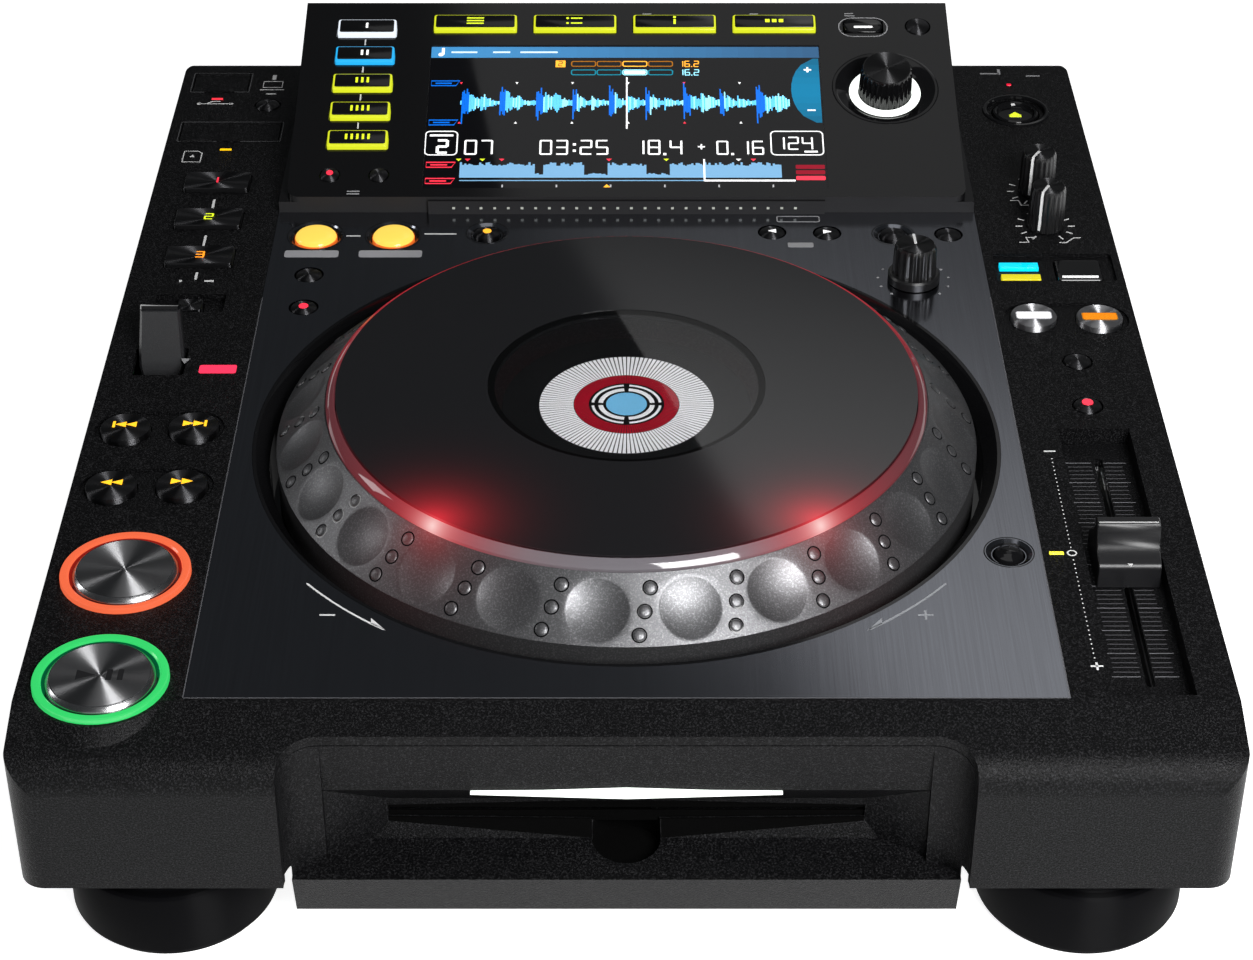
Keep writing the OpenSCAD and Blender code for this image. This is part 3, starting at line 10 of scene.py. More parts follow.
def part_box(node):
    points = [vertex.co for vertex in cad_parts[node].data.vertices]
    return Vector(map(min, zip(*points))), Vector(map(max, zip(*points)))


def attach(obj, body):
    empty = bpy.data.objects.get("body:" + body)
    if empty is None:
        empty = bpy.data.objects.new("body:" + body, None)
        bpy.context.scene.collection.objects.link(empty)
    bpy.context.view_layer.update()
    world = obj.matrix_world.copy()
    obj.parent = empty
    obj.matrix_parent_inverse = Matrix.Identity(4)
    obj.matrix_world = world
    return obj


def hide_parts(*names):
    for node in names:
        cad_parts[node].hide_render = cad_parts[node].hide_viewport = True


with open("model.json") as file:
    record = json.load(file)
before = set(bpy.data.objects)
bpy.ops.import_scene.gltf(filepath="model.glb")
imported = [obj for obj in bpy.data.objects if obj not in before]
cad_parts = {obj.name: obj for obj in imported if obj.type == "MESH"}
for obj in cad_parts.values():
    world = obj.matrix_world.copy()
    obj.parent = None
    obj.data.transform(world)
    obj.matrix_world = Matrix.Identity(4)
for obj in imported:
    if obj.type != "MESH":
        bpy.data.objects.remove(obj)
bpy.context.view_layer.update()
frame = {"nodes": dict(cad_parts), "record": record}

nodes = frame["nodes"]
mm = 0.001
deck = 75.3          # height of the deck in millimetres, as are all lengths below
random.seed(7)

camera = {"lens": 82.26, "place": (0, -0.75414, 0.5498), "tilt": 55}


def makeCamera():
    data = bpy.data.cameras.new("camera")
    data.lens = camera["lens"]
    data.sensor_width = 36
    eye = bpy.data.objects.new("camera", data)
    eye.location = camera["place"]
    eye.rotation_euler = (math.radians(camera["tilt"]), 0, 0)
    bpy.context.scene.collection.objects.link(eye)
    bpy.context.scene.camera = eye


makeCamera()
print("camera in place")


# helpers for the node trees of the materials
def addNode(tree, kind, **settings):
    made = tree.nodes.new(kind)
    for key, value in settings.items():
        setattr(made, key, value)
    return made


def feed(tree, socket, value):
    if isinstance(value, bpy.types.NodeSocket):
        tree.links.new(value, socket)
    else:
        socket.default_value = value


def maths(tree, operation, first, second=0.0, third=0.0, clamp=False):
    made = addNode(tree, "ShaderNodeMath", operation=operation, use_clamp=clamp)
    for socket, value in zip(made.inputs, (first, second, third)):
        feed(tree, socket, value)
    return made.outputs[0]


def objectPlace(tree):
    return addNode(tree, "ShaderNodeTexCoord").outputs["Object"]


def stretched(tree, place, scale):
    made = addNode(tree, "ShaderNodeMapping")
    feed(tree, made.inputs["Vector"], place)
    made.inputs["Scale"].default_value = scale
    return made.outputs[0]


def noise(tree, place, scale, detail=2.0, rough=0.5):
    made = addNode(tree, "ShaderNodeTexNoise")
    feed(tree, made.inputs["Vector"], place)
    feed(tree, made.inputs["Scale"], scale)
    made.inputs["Detail"].default_value = detail
    made.inputs["Roughness"].default_value = rough
    return made.outputs["Fac"]


def ranged(tree, value, low, high, outLow, outHigh):
    made = addNode(tree, "ShaderNodeMapRange")
    for name, fed in (("Value", value), ("From Min", low), ("From Max", high),
                      ("To Min", outLow), ("To Max", outHigh)):
        feed(tree, made.inputs[name], fed)
    return made.outputs[0]


def mixColour(tree, share, first, second):
    made = addNode(tree, "ShaderNodeMix", data_type="RGBA")
    feed(tree, made.inputs[0], share)
    feed(tree, made.inputs[6], first)
    feed(tree, made.inputs[7], second)
    return made.outputs[2]


def newGroup(name, inputs, outputs):
    group = bpy.data.node_groups.new(name, "ShaderNodeTree")
    for label, kind, value in inputs:
        socket = group.interface.new_socket(name=label, in_out="INPUT", socket_type=kind)
        if value is not None:
            socket.default_value = value
    for label, kind in outputs:
        group.interface.new_socket(name=label, in_out="OUTPUT", socket_type=kind)
    return group, group.nodes.new("NodeGroupInput"), group.nodes.new("NodeGroupOutput")


def mouldGrain():
    # leathery grain of a spark-eroded mould, with a few bright grains
    group, given, out = newGroup(
        "mouldGrain",
        [("place", "NodeSocketVector", None), ("grainSize", "NodeSocketFloat", 0.5),
         ("sparkle", "NodeSocketFloat", 0.5)],
        [("height", "NodeSocketFloat"), ("bright", "NodeSocketFloat")])
    scale = maths(group, "DIVIDE", 1000.0, given.outputs["grainSize"])
    cells = addNode(group, "ShaderNodeTexVoronoi")
    group.links.new(given.outputs["place"], cells.inputs["Vector"])
    group.links.new(scale, cells.inputs["Scale"])
    fine = noise(group, given.outputs["place"], maths(group, "MULTIPLY", scale, 1.9), 3.0)
    height = maths(group, "MULTIPLY_ADD", cells.outputs["Distance"], 0.7, fine)
    group.links.new(height, out.inputs["height"])
    grains = noise(group, given.outputs["place"], maths(group, "MULTIPLY", scale, 0.8), 4.0, 0.7)
    bright = ranged(group, grains, 0.5, 0.7, 0.0, given.outputs["sparkle"])
    group.links.new(bright, out.inputs["bright"])
    return group


def handling():
    # soft patches of handling that change the gloss
    group, given, out = newGroup(
        "handling",
        [("place", "NodeSocketVector", None), ("roughness", "NodeSocketFloat", 0.3),
         ("change", "NodeSocketFloat", 0.06), ("patchSize", "NodeSocketFloat", 40.0)],
        [("roughness", "NodeSocketFloat"), ("tone", "NodeSocketFloat")])
    scale = maths(group, "DIVIDE", 1000.0, given.outputs["patchSize"])
    patches = noise(group, given.outputs["place"], scale, 5.0, 0.6)
    centred = maths(group, "SUBTRACT", patches, 0.5)
    moved = maths(group, "MULTIPLY", centred, given.outputs["change"])
    group.links.new(maths(group, "ADD", moved, given.outputs["roughness"]), out.inputs["roughness"])
    group.links.new(maths(group, "MULTIPLY_ADD", centred, 0.5, 1.0), out.inputs["tone"])
    return group


def turnedLines():
    # fine rings left by a lathe about a centre
    group, given, out = newGroup(
        "turnedLines",
        [("place", "NodeSocketVector", None), ("centre", "NodeSocketVector", (0, 0, 0)),
         ("pitch", "NodeSocketFloat", 0.3)],
        [("height", "NodeSocketFloat"), ("tone", "NodeSocketFloat"), ("angle", "NodeSocketFloat")])
    offset = addNode(group, "ShaderNodeVectorMath", operation="SUBTRACT")
    group.links.new(given.outputs["place"], offset.inputs[0])
    group.links.new(given.outputs["centre"], offset.inputs[1])
    parts = addNode(group, "ShaderNodeSeparateXYZ")
    group.links.new(offset.outputs[0], parts.inputs[0])
    across = maths(group, "MULTIPLY", parts.outputs[0], parts.outputs[0])
    along = maths(group, "MULTIPLY", parts.outputs[1], parts.outputs[1])
    radius = maths(group, "SQRT", maths(group, "ADD", across, along))
    rings = maths(group, "DIVIDE", maths(group, "MULTIPLY", radius, 1000.0), given.outputs["pitch"])
    lines = addNode(group, "ShaderNodeTexNoise", noise_dimensions="1D")
    group.links.new(rings, lines.inputs["W"])
    lines.inputs["Scale"].default_value = 1.0
    lines.inputs["Detail"].default_value = 3.0
    group.links.new(lines.outputs["Fac"], out.inputs["height"])
    group.links.new(ranged(group, lines.outputs["Fac"], 0.3, 0.7, 0.8, 1.2), out.inputs["tone"])
    group.links.new(maths(group, "ARCTAN2", parts.outputs[1], parts.outputs[0]), out.inputs["angle"])
    return group


def hairlines():
    # long straight scratches of a brushed sheet, front to back
    group, given, out = newGroup(
        "hairlines",
        [("place", "NodeSocketVector", None), ("fineness", "NodeSocketFloat", 1.0)],
        [("height", "NodeSocketFloat"), ("tone", "NodeSocketFloat")])
    lines = stretched(group, given.outputs["place"], (2600, 22, 22))
    value = noise(group, lines, given.outputs["fineness"], 3.0, 0.6)
    group.links.new(value, out.inputs["height"])
    group.links.new(ranged(group, value, 0.3, 0.7, 0.75, 1.25), out.inputs["tone"])
    return group


def lampGlow():
    # red light that two lamps under the clear ring throw on what is near them: it shapes the ring's own
    # glow, and on the dial and platter it is painted light in their emission
    group, given, out = newGroup(
        "lampGlow",
        [("place", "NodeSocketVector", None), ("reach", "NodeSocketFloat", 14.0)],
        [("glow", "NodeSocketFloat")])
    near = []
    for angle in wheel["lampAngles"]:
        spot = addNode(group, "ShaderNodeVectorMath", operation="DISTANCE")
        group.links.new(given.outputs["place"], spot.inputs[0])
        spot.inputs[1].default_value = wheelPoint(wheel["ringMid"], angle, wheel["dialTop"] + 1.5)
        share = maths(group, "DIVIDE", maths(group, "MULTIPLY", spot.outputs["Value"], 1000.0),
                      given.outputs["reach"])
        near.append(maths(group, "POWER", 2.718, maths(group, "MULTIPLY", share, -1.0)))
    group.links.new(maths(group, "ADD", near[0], near[1]), out.inputs["glow"])
    return group


wheel = {
    "centreY": -52.4, "dialRadius": 103.0, "ringOuter": 87.8, "ringInner": 85.2, "ringMid": 86.5,
    "dialTop": 89.6, "dialLip": 76.0, "dialLow": 63.9,
    "dimples": 24, "dimpleRadius": 8.8, "dimpleDepth": 1.5, "firstDimple": -94.7,
    "lampAngles": (-127.5, -52.5),
    "pins": ((-1.5, -6.6), (0.2, -0.2), (1.9, 6.2)),
    "pinShadeCollar": ((2.15, -0.3), (2.15, 0.03), (1.75, 0.04), (1.7, -0.3)),
    "pinTop": ((1.68, -0.3), (1.68, 0.12), (1.45, 0.3), (1.0, 0.42), (0.02, 0.46)),
}


def wheelPoint(radius, angle, height):
    turn = math.radians(angle)
    return (radius * math.cos(turn) * mm, (wheel["centreY"] + radius * math.sin(turn)) * mm, height * mm)


groups = {make.__name__: make() for make in (mouldGrain, handling, turnedLines, hairlines, lampGlow)}


def place(tree, name, **values):
    made = addNode(tree, "ShaderNodeGroup", node_tree=groups[name])
    tree.links.new(objectPlace(tree), made.inputs["place"])
    for key, value in values.items():
        feed(tree, made.inputs[key], value)
    return made.outputs


def newMaterial(name, **sockets):
    made = bpy.data.materials.new(name)
    made.use_nodes = True
    shader = made.node_tree.nodes["Principled BSDF"]
    for label, value in sockets.items():
        shader.inputs[label.replace("_", " ")].default_value = value
    return made, made.node_tree, shader


def coated(tree, shader, colour, roughness):
    tree.links.new(colour, shader.inputs["Base Color"])
    tree.links.new(roughness, shader.inputs["Roughness"])


def turned(tree, shader):
    # highlights run round the piece's own upright axis
    tangent = addNode(tree, "ShaderNodeTangent", direction_type="RADIAL", axis="Z")
    tree.links.new(tangent.outputs[0], shader.inputs["Tangent"])


def shaded(colour, share=1.0):
    return (*[c * share for c in colour], 1)


def bumped(tree, shader, height, depth):
    made = addNode(tree, "ShaderNodeBump")
    made.inputs["Strength"].default_value = 1.0
    made.inputs["Distance"].default_value = depth * mm
    tree.links.new(height, made.inputs["Height"])
    tree.links.new(made.outputs[0], shader.inputs["Normal"])


def moulded(name, dark, pale, rough, grainSize, depth, sparkle=0.5, specular=0.35):
    made, tree, shader = newMaterial(name, Specular_IOR_Level=specular)
    grain = place(tree, "mouldGrain", grainSize=grainSize, sparkle=sparkle)
    gloss = place(tree, "handling", roughness=rough, change=0.08, patchSize=60.0)
    coated(tree, shader, mixColour(tree, grain["bright"], shaded(dark), shaded(pale)), gloss["roughness"])
    bumped(tree, shader, grain["height"], depth)
    return made


def polished(name, colour, rough, specular=0.5):
    made, tree, shader = newMaterial(name, Specular_IOR_Level=specular)
    gloss = place(tree, "handling", roughness=rough, change=0.03, patchSize=18.0)
    share = maths(tree, "SUBTRACT", gloss["tone"], 0.75)
    coated(tree, shader, mixColour(tree, share, shaded(colour), shaded(colour, 1.3)), gloss["roughness"])
    return made


def housingGloss():
    # gloss on the tilted face, a matt wall in front
    made, tree, shader = newMaterial("housingGloss", Specular_IOR_Level=0.45)
    gloss = place(tree, "handling", roughness=0.09, change=0.03, patchSize=18.0)
    facing = addNode(tree, "ShaderNodeSeparateXYZ")
    tree.links.new(addNode(tree, "ShaderNodeTexCoord").outputs["Normal"], facing.inputs[0])
    matt = ranged(tree, facing.outputs[1], -0.6, -0.9, 0.0, 0.55)
    colour = mixColour(tree, matt, (0.0055, 0.0055, 0.006, 1), (0.014, 0.014, 0.016, 1))
    coated(tree, shader, colour, maths(tree, "ADD", gloss["roughness"], matt))
    return made


def lit(name, colour, strength, rough=0.2, unlit=0.4):
    made, tree, shader = newMaterial(name, Emission_Strength=strength)
    gloss = place(tree, "handling", roughness=rough, change=0.06, patchSize=9.0)
    share = maths(tree, "SUBTRACT", gloss["tone"], 0.6)
    glow = mixColour(tree, share, shaded(colour, 0.85), shaded(colour))
    shader.inputs["Base Color"].default_value = shaded(colour, unlit)
    tree.links.new(glow, shader.inputs["Emission Color"])
    tree.links.new(gloss["roughness"], shader.inputs["Roughness"])
    return made


def brushed(name, dark, pale, rough, change, patchSize, depth, **sockets):
    # sheet with hairlines from front to back
    made, tree, shader = newMaterial(name, Metallic=1.0, **sockets)
    lines = place(tree, "hairlines", fineness=1.0)
    gloss = place(tree, "handling", roughness=rough, change=change, patchSize=patchSize)
    share = ranged(tree, lines["tone"], 0.75, 1.25, 0.0, 1.0)
    coated(tree, shader, mixColour(tree, share, shaded(dark), shaded(pale)), gloss["roughness"])
    bumped(tree, shader, lines["height"], depth)
    return made


def sheetMetal(name, colour, rough=0.3):
    return brushed(name, [c * 0.8 for c in colour], colour, rough, 0.12, 30.0, 0.01)


def platedSheet():
    # dark sheet under clear lacquer
    return brushed("plateFinish", (0.2, 0.207, 0.232), (0.24, 0.25, 0.28), 0.15, 0.03, 50.0, 0.0008,
                   Coat_Weight=0.12, Coat_Roughness=0.2)


def dialMetal():
    made, tree, shader = newMaterial("dialMetal", Metallic=0.85, Emission_Strength=1.0)
    grain = place(tree, "mouldGrain", grainSize=0.42, sparkle=0.7)
    glow = place(tree, "lampGlow", reach=6.0)["glow"]
    colour = mixColour(tree, grain["bright"], (0.125, 0.125, 0.13, 1), (0.33, 0.33, 0.34, 1))
    coated(tree, shader, colour, place(tree, "handling", roughness=0.41, change=0.05)["roughness"])
    # painted light: red glow of the ring lamps, emitted by the dial near them
    share = maths(tree, "MULTIPLY", glow, 0.6)
    paintedRedGlow = mixColour(tree, share, (0, 0, 0, 1), (0.6, 0.02, 0.025, 1))
    tree.links.new(paintedRedGlow, shader.inputs["Emission Color"])
    bumped(tree, shader, grain["height"], 0.03)
    return made


def platterMetal():
    made, tree, shader = newMaterial("platterFinish", Emission_Strength=1.0, Specular_IOR_Level=0.8)
    lines = place(tree, "turnedLines", centre=(0, wheel["centreY"] * mm, 0), pitch=0.22)
    glow = place(tree, "lampGlow", reach=6.5)["glow"]
    share = ranged(tree, lines["tone"], 0.8, 1.2, 0.0, 1.0)
    colour = mixColour(tree, share, (0.007, 0.007, 0.008, 1), (0.013, 0.013, 0.0145, 1))
    coated(tree, shader, colour, place(tree, "handling", roughness=0.07, change=0.02)["roughness"])
    # painted light: red glow of the ring lamps, emitted by the platter near them
    paintedRedGlow = mixColour(tree, glow, (0, 0, 0, 1), (1.0, 0.03, 0.05, 1))
    tree.links.new(paintedRedGlow, shader.inputs["Emission Color"])
    bumped(tree, shader, lines["height"], 0.0008)
    return made


def spunMetal(name, colour, rough=0.5):
    # face-turned disc: the rings bend each lamp into a fan
    made, tree, shader = newMaterial(name, Metallic=1.0, Anisotropic=1.0, Anisotropic_Rotation=0.25)
    turned(tree, shader)
    gloss = place(tree, "handling", roughness=rough, change=0.08, patchSize=9.0)
    share = maths(tree, "SUBTRACT", gloss["tone"], 0.6)
    coated(tree, shader, mixColour(tree, share, shaded(colour, 0.75), shaded(colour)), gloss["roughness"])
    return made


def clearRing():
    # clear moulding lit red from below, brightest over its two lamps
    made, tree, shader = newMaterial("clearRing", Emission_Strength=1.0, Roughness=0.05)
    around = place(tree, "turnedLines", centre=(0, wheel["centreY"] * mm, 0))["angle"]
    hot = place(tree, "lampGlow", reach=12.0)["glow"]
    core = place(tree, "lampGlow", reach=3.2)["glow"]
    forward = maths(tree, "COSINE", maths(tree, "ADD", around, math.pi / 2))
    front = ranged(tree, forward, 0.8, 0.95, 0.0, 1.0)
    rear = ranged(tree, forward, 0.0, -0.9, 0.1, 0.75)
    side = maths(tree, "MULTIPLY_ADD", maths(tree, "SUBTRACT", 1.0, front), rear, hot, clamp=True)
    red = mixColour(tree, side, (0.02, 0.018, 0.022, 1), (0.7, 0.008, 0.022, 1))
    tree.links.new(mixColour(tree, core, red, (1.0, 0.75, 0.72, 1)), shader.inputs["Emission Color"])
    # the paler base colour over the front stretch is a painted sheen
    tree.links.new(mixColour(tree, front, (0.04, 0.02, 0.022, 1), (0.12, 0.12, 0.13, 1)),
                   shader.inputs["Base Color"])
    return made


def turnedGloss(name, colour, rough=0.45, specular=0.04):
    # black lathe-turned side: each lamp is drawn out into an upright streak
    made, tree, shader = newMaterial(name, Anisotropic=1.0, Anisotropic_Rotation=0.25,
                                     Specular_IOR_Level=specular)
    turned(tree, shader)
    gloss = place(tree, "handling", roughness=rough, change=0.08, patchSize=12.0)
    share = maths(tree, "SUBTRACT", gloss["tone"], 0.75)
    coated(tree, shader, mixColour(tree, share, shaded(colour), shaded(colour, 1.6)), gloss["roughness"])
    return made


def tinted(name, emission=0.0, rough=0.35):
    # print or lamp colours, and pale lines of painted highlight, held by the faces
    made, tree, shader = newMaterial(name, Emission_Strength=emission, Specular_IOR_Level=0.4)
    held = addNode(tree, "ShaderNodeAttribute", attribute_name="tint").outputs["Color"]
    gloss = place(tree, "handling", roughness=rough, change=0.1, patchSize=6.0)
    worn = addNode(tree, "ShaderNodeMix", data_type="RGBA", blend_type="MULTIPLY")
    worn.inputs[0].default_value = 0.25
    tree.links.new(held, worn.inputs[6])
    tree.links.new(gloss["tone"], worn.inputs[7])
    coated(tree, shader, worn.outputs[2], gloss["roughness"])
    if emission:
        tree.links.new(held, shader.inputs["Emission Color"])
    return made


def smokedGlass():
    made, tree, shader = newMaterial("smokedGlass", Transmission_Weight=1.0, IOR=1.45)
    gloss = place(tree, "handling", roughness=0.015, change=0.02, patchSize=25.0)
    colour = mixColour(tree, gloss["tone"], (0.62, 0.62, 0.64, 1), (0.72, 0.72, 0.74, 1))
    coated(tree, shader, colour, gloss["roughness"])
    return made


# a moulded finish: dark and pale colour, roughness, grain size and depth in millimetres, sparkle, specular
finish = {
    "cover": moulded("coverGrain", (0.0025, 0.0025, 0.0028), (0.04, 0.04, 0.0425), 0.36, 0.42, 0.11,
                     0.8, 0.1),
    "pan": moulded("panCoat", (0.016, 0.016, 0.017), (0.05, 0.05, 0.052), 0.55, 0.3, 0.03, 0.4),
    "plate": platedSheet(),
    "housing": housingGloss(),
    "screen_glass": polished("screenBlack", (0.003, 0.003, 0.004), 0.03),
    "gloss_black": polished("glossBlack", (0.0045, 0.0045, 0.005), 0.07, 0.4),
    "cue_light": lit("cueLight", (0.85, 0.14, 0.055), 1.0, 0.15, 0.25),
    "play_light": lit("playLight", (0.035, 0.62, 0.14), 1.0, 0.15, 0.25),
    "white_light": lit("barLampAndRingReflection", (0.95, 1.0, 0.95), 1.6),
    "lamp": lit("deckLamp", (0.9, 0.25, 0.2), 0.8),
    "foot": turnedGloss("footGloss", (0.003, 0.003, 0.0035)),
    "board": moulded("boardGreen", (0.02, 0.1, 0.04), (0.05, 0.2, 0.08), 0.4, 0.8, 0.02),
    "steel": sheetMetal("platedSteel", (0.55, 0.55, 0.56)),
    "jog_screen": polished("jogScreenBlack", (0.002, 0.002, 0.002), 0.5, 0.1),
    "dial": dialMetal(),
    "ring_light": clearRing(),
    "platter": platterMetal(),
    "smoked_glass": smokedGlass(),
    "lever": moulded("leverMetal", (0.014, 0.0145, 0.016), (0.055, 0.056, 0.06), 0.32, 0.3, 0.01, 0.4, 0.8),
    "spun_metal": spunMetal("spunMetal", (0.42, 0.42, 0.43)),
    "spun_bright": spunMetal("spunBright", (0.62, 0.62, 0.64)),
    "bevel": sheetMetal("turnedBevel", (0.5, 0.5, 0.51), 0.22),
    "spun_black": spunMetal("spunBlack", (0.085, 0.085, 0.09), 0.46),
    "cap": moulded("capBlack", (0.006, 0.006, 0.007), (0.02, 0.02, 0.021), 0.36, 0.3, 0.006, 0.5, 0.4),
    "felt": moulded("slotFelt", (0.001, 0.001, 0.001), (0.004, 0.004, 0.004), 0.9, 0.4, 0.02, 0.2, 0.05),
    "amber_skirt": lit("amberSkirt", (0.9, 0.16, 0.02), 0.8),
    "key_cap": polished("keyCap", (0.004, 0.004, 0.0045), 0.12),
    "key_white": lit("keyWhite", (0.8, 0.86, 0.95), 1.0),
    "key_cyan": lit("keyCyan", (0.02, 0.42, 0.85), 1.0),
    "cue_deep": lit("cueDeep", (0.25, 0.01, 0.006), 1.0),
    "play_deep": lit("playDeep", (0.0, 0.09, 0.03), 1.0),
    "lit_key": lit("keyGlow", (0.66, 0.72, 0.02), 1.0),
    "amber_light": lit("amberGlow", (1.0, 0.66, 0.1), 1.0),
    "rubber": moulded("blackRubber", (0.02, 0.02, 0.02), (0.035, 0.035, 0.035), 0.8, 0.5, 0.02, 0.2),
    "knob_top": spunMetal("knobTop", (0.085, 0.085, 0.088)),
    "knob": moulded("knobBlack", (0.008, 0.008, 0.0085), (0.02, 0.02, 0.021), 0.3, 0.3, 0.01, 0.3, 0.5),
}
printAndHighlightInk = tinted("printAndHighlightInk")
glowInk = tinted("glowInk", emission=1.0, rough=0.12)

for entry in frame["record"]["subparts"]:
    held = nodes[entry["node"]].data.materials
    held.clear()
    held.append(finish[entry["material_slot"]])
print("materials on", len(nodes), "solids")

lights = {
    # azimuth from the rear to the right, elevation, distance, width, height in metres, radiance, roll
    "rightRear": (19.0, 23.0, 3.5, 2.41, 2.6, 0.75, 41.4),
    "overDisplay": (12.0, 57.0, 3.0, 1.0, 1.1, 0.4, 23.0),
    "key": (156.0, 33.0, 0.88, 0.36, 0.36, 22.0, 0.0),
    "leftKick": (280.0, 22.0, 1.4, 0.25, 0.5, 5.0, 0.0),
    "fill": (185.0, 20.0, 2.6, 2.2, 1.2, 0.3, 0.0),
    "top": (0.0, 88.0, 1.7, 1.1, 1.0, 0.7, 0.0),
}


def softbox(name, azimuth, elevation, distance, width, height, radiance, roll):
    a, e = math.radians(azimuth), math.radians(elevation)
    way = Vector((math.sin(a) * math.cos(e), math.cos(a) * math.cos(e), math.sin(e)))
    data = bpy.data.lights.new(name, "AREA")
    data.shape = "RECTANGLE"
    data.size, data.size_y = width, height
    data.energy = radiance * width * height * math.pi
    lamp = bpy.data.objects.new(name, data)
    lamp.location = way * distance + Vector((0, 0, 0.08))
    spin = Matrix.Rotation(math.radians(roll), 3, "Z").to_quaternion()
    lamp.rotation_mode = "QUATERNION"
    lamp.rotation_quaternion = way.to_track_quat("Z", "Y") @ spin
    lamp.visible_camera = False
    bpy.context.scene.collection.objects.link(lamp)
    return data


fade = {"light": "rightRear", "low": 1.9, "high": 2.35, "share": 0.12}      # heights in metres
stage = {"half": 9.0, "floor": (0.7, 0.7, 0.7, 1), "seen": 0.9, "sky": (0.9, 0.95, 1.0, 1),
         "skyStrength": 0.05}


def fadeUp(data, low, high, share):
    # dims a softbox towards its lower end
    data.use_nodes = True
    tree = data.node_tree
    height = addNode(tree, "ShaderNodeSeparateXYZ")
    tree.links.new(addNode(tree, "ShaderNodeNewGeometry").outputs["Position"], height.inputs[0])
    strength = ranged(tree, height.outputs[2], low, high, share, 1.0)
    feed(tree, tree.nodes["Emission"].inputs["Strength"], strength)


def makeStage():
    mesh = bpy.data.meshes.new("floor")
    half = stage["half"]
    corners = [(-half, -half, 0), (half, -half, 0), (half, half, 0), (-half, half, 0)]
    mesh.from_pydata(corners, [], [(0, 1, 2, 3)])
    floor = bpy.data.objects.new("floor", mesh)
    floor.location.z = -0.0001
    bpy.context.scene.collection.objects.link(floor)
    made, tree, shader = newMaterial("paleFloor", Roughness=0.9, Specular_IOR_Level=0.1)
    shader.inputs["Base Color"].default_value = stage["floor"]
    rays = addNode(tree, "ShaderNodeLightPath").outputs
    seen = maths(tree, "ADD", rays["Is Camera Ray"], rays["Is Glossy Ray"], clamp=True)
    seen = maths(tree, "ADD", seen, rays["Is Transmission Ray"], clamp=True)
    feed(tree, shader.inputs["Emission Color"], (1, 1, 1, 1))
    feed(tree, shader.inputs["Emission Strength"], maths(tree, "MULTIPLY", seen, stage["seen"]))
    mesh.materials.append(made)
    world = bpy.data.worlds.new("room")
    world.use_nodes = True
    sky = world.node_tree.nodes["Background"]
    sky.inputs["Color"].default_value = stage["sky"]
    sky.inputs["Strength"].default_value = stage["skyStrength"]
    bpy.context.scene.world = world
    bpy.context.scene.view_settings.view_transform = "Standard"


for name, values in lights.items():
    made = softbox(name, *values)
    if name == fade["light"]:
        fadeUp(made, fade["low"], fade["high"], fade["share"])
makeStage()
print("stage lit")


# a shape is a list of points in millimetres with faces, their materials and tints
def newShape():
    return {"points": [], "faces": [], "slots": [], "tints": []}


def addFaces(shape, faces, slot, tint):
    shape["faces"] += faces
    shape["slots"] += [slot] * len(faces)
    shape["tints"] += [tint or (1, 1, 1)] * len(faces)


def skin(shape, loops, at=None, slot=0, tint=None, closed=False):
    # walls from loop to loop, then a lid at each end unless the loops close on themselves
    at = at or Matrix.Identity(4)
    start, count = len(shape["points"]), len(loops[0])
    for loop in loops:
        shape["points"] += [at @ Vector(p) for p in loop]
    faces = []
    for i in range(len(loops) if closed else len(loops) - 1):
        here, there = start + i * count, start + (i + 1) % len(loops) * count
        for k in range(count):
            after = (k + 1) % count
            faces.append((here + k, here + after, there + after, there + k))
    if not closed:
        last = start + (len(loops) - 1) * count
        faces += [tuple(reversed(range(start, start + count))), tuple(range(last, last + count))]
    addFaces(shape, faces, slot, tint)


def circle(radius, height, steps=64, x=0.0, y=0.0):
    turns = [2 * math.pi * k / steps for k in range(steps)]
    return [(x + radius * math.cos(t), y + radius * math.sin(t), height) for t in turns]


def lathe(shape, profile, at=None, slot=0, tint=None, steps=64, closed=False):
    skin(shape, [circle(max(r, 0.02), z, steps) for r, z in profile], at, slot, tint, closed)


def roundBox(width, depth, radius, height, steps=5):
    radius = max(min(radius, width / 2 - 0.01, depth / 2 - 0.01), 0.01)
    points = []
    for corner, (sx, sy) in enumerate(((1, 1), (-1, 1), (-1, -1), (1, -1))):
        for k in range(steps + 1):
            t = math.pi / 2 * (corner + k / steps)
            points.append((sx * (width / 2 - radius) + radius * math.cos(t),
                           sy * (depth / 2 - radius) + radius * math.sin(t), height))
    return points


def softBlock(shape, width, depth, low, high, radius=0.8, edge=0.3, at=None, slot=0, tint=None):
    # block with round corners and a rounded top edge
    loops = [roundBox(width, depth, radius, low)]
    for k in range(4):
        t = math.pi / 2 * k / 3
        inset = edge * (1 - math.cos(t))
        loops.append(roundBox(width - 2 * inset, depth - 2 * inset, radius - inset,
                              high - edge + edge * math.sin(t)))
    skin(shape, loops, at, slot, tint)


def flat(shape, outline, at=None, tint=None, slot=0, low=-0.03, high=0.05):
    skin(shape, [[(x, y, low) for x, y in outline], [(x, y, high) for x, y in outline]], at, slot, tint)


def stroke(shape, path, width, at=None, tint=None, slot=0, closed=False, low=-0.03, high=0.05):
    # flat line of even width along a path
    loops, count = [], len(path)
    for k, (x, y) in enumerate(path):
        before = path[(k - 1) % count] if closed or k else path[k]
        after = path[(k + 1) % count] if closed or k < count - 1 else path[k]
        way = Vector((after[0] - before[0], after[1] - before[1])).normalized()
        side = Vector((-way.y, way.x)) * width / 2
        loops.append([(x + side.x, y + side.y, low), (x - side.x, y - side.y, low),
                      (x - side.x, y - side.y, high), (x + side.x, y + side.y, high)])
    skin(shape, loops, at, slot, tint, closed)


def arcPath(radius, first, last, steps=24, x=0.0, y=0.0):
    turns = [math.radians(first + (last - first) * k / steps) for k in range(steps + 1)]
    return [(x + radius * math.cos(t), y + radius * math.sin(t)) for t in turns]


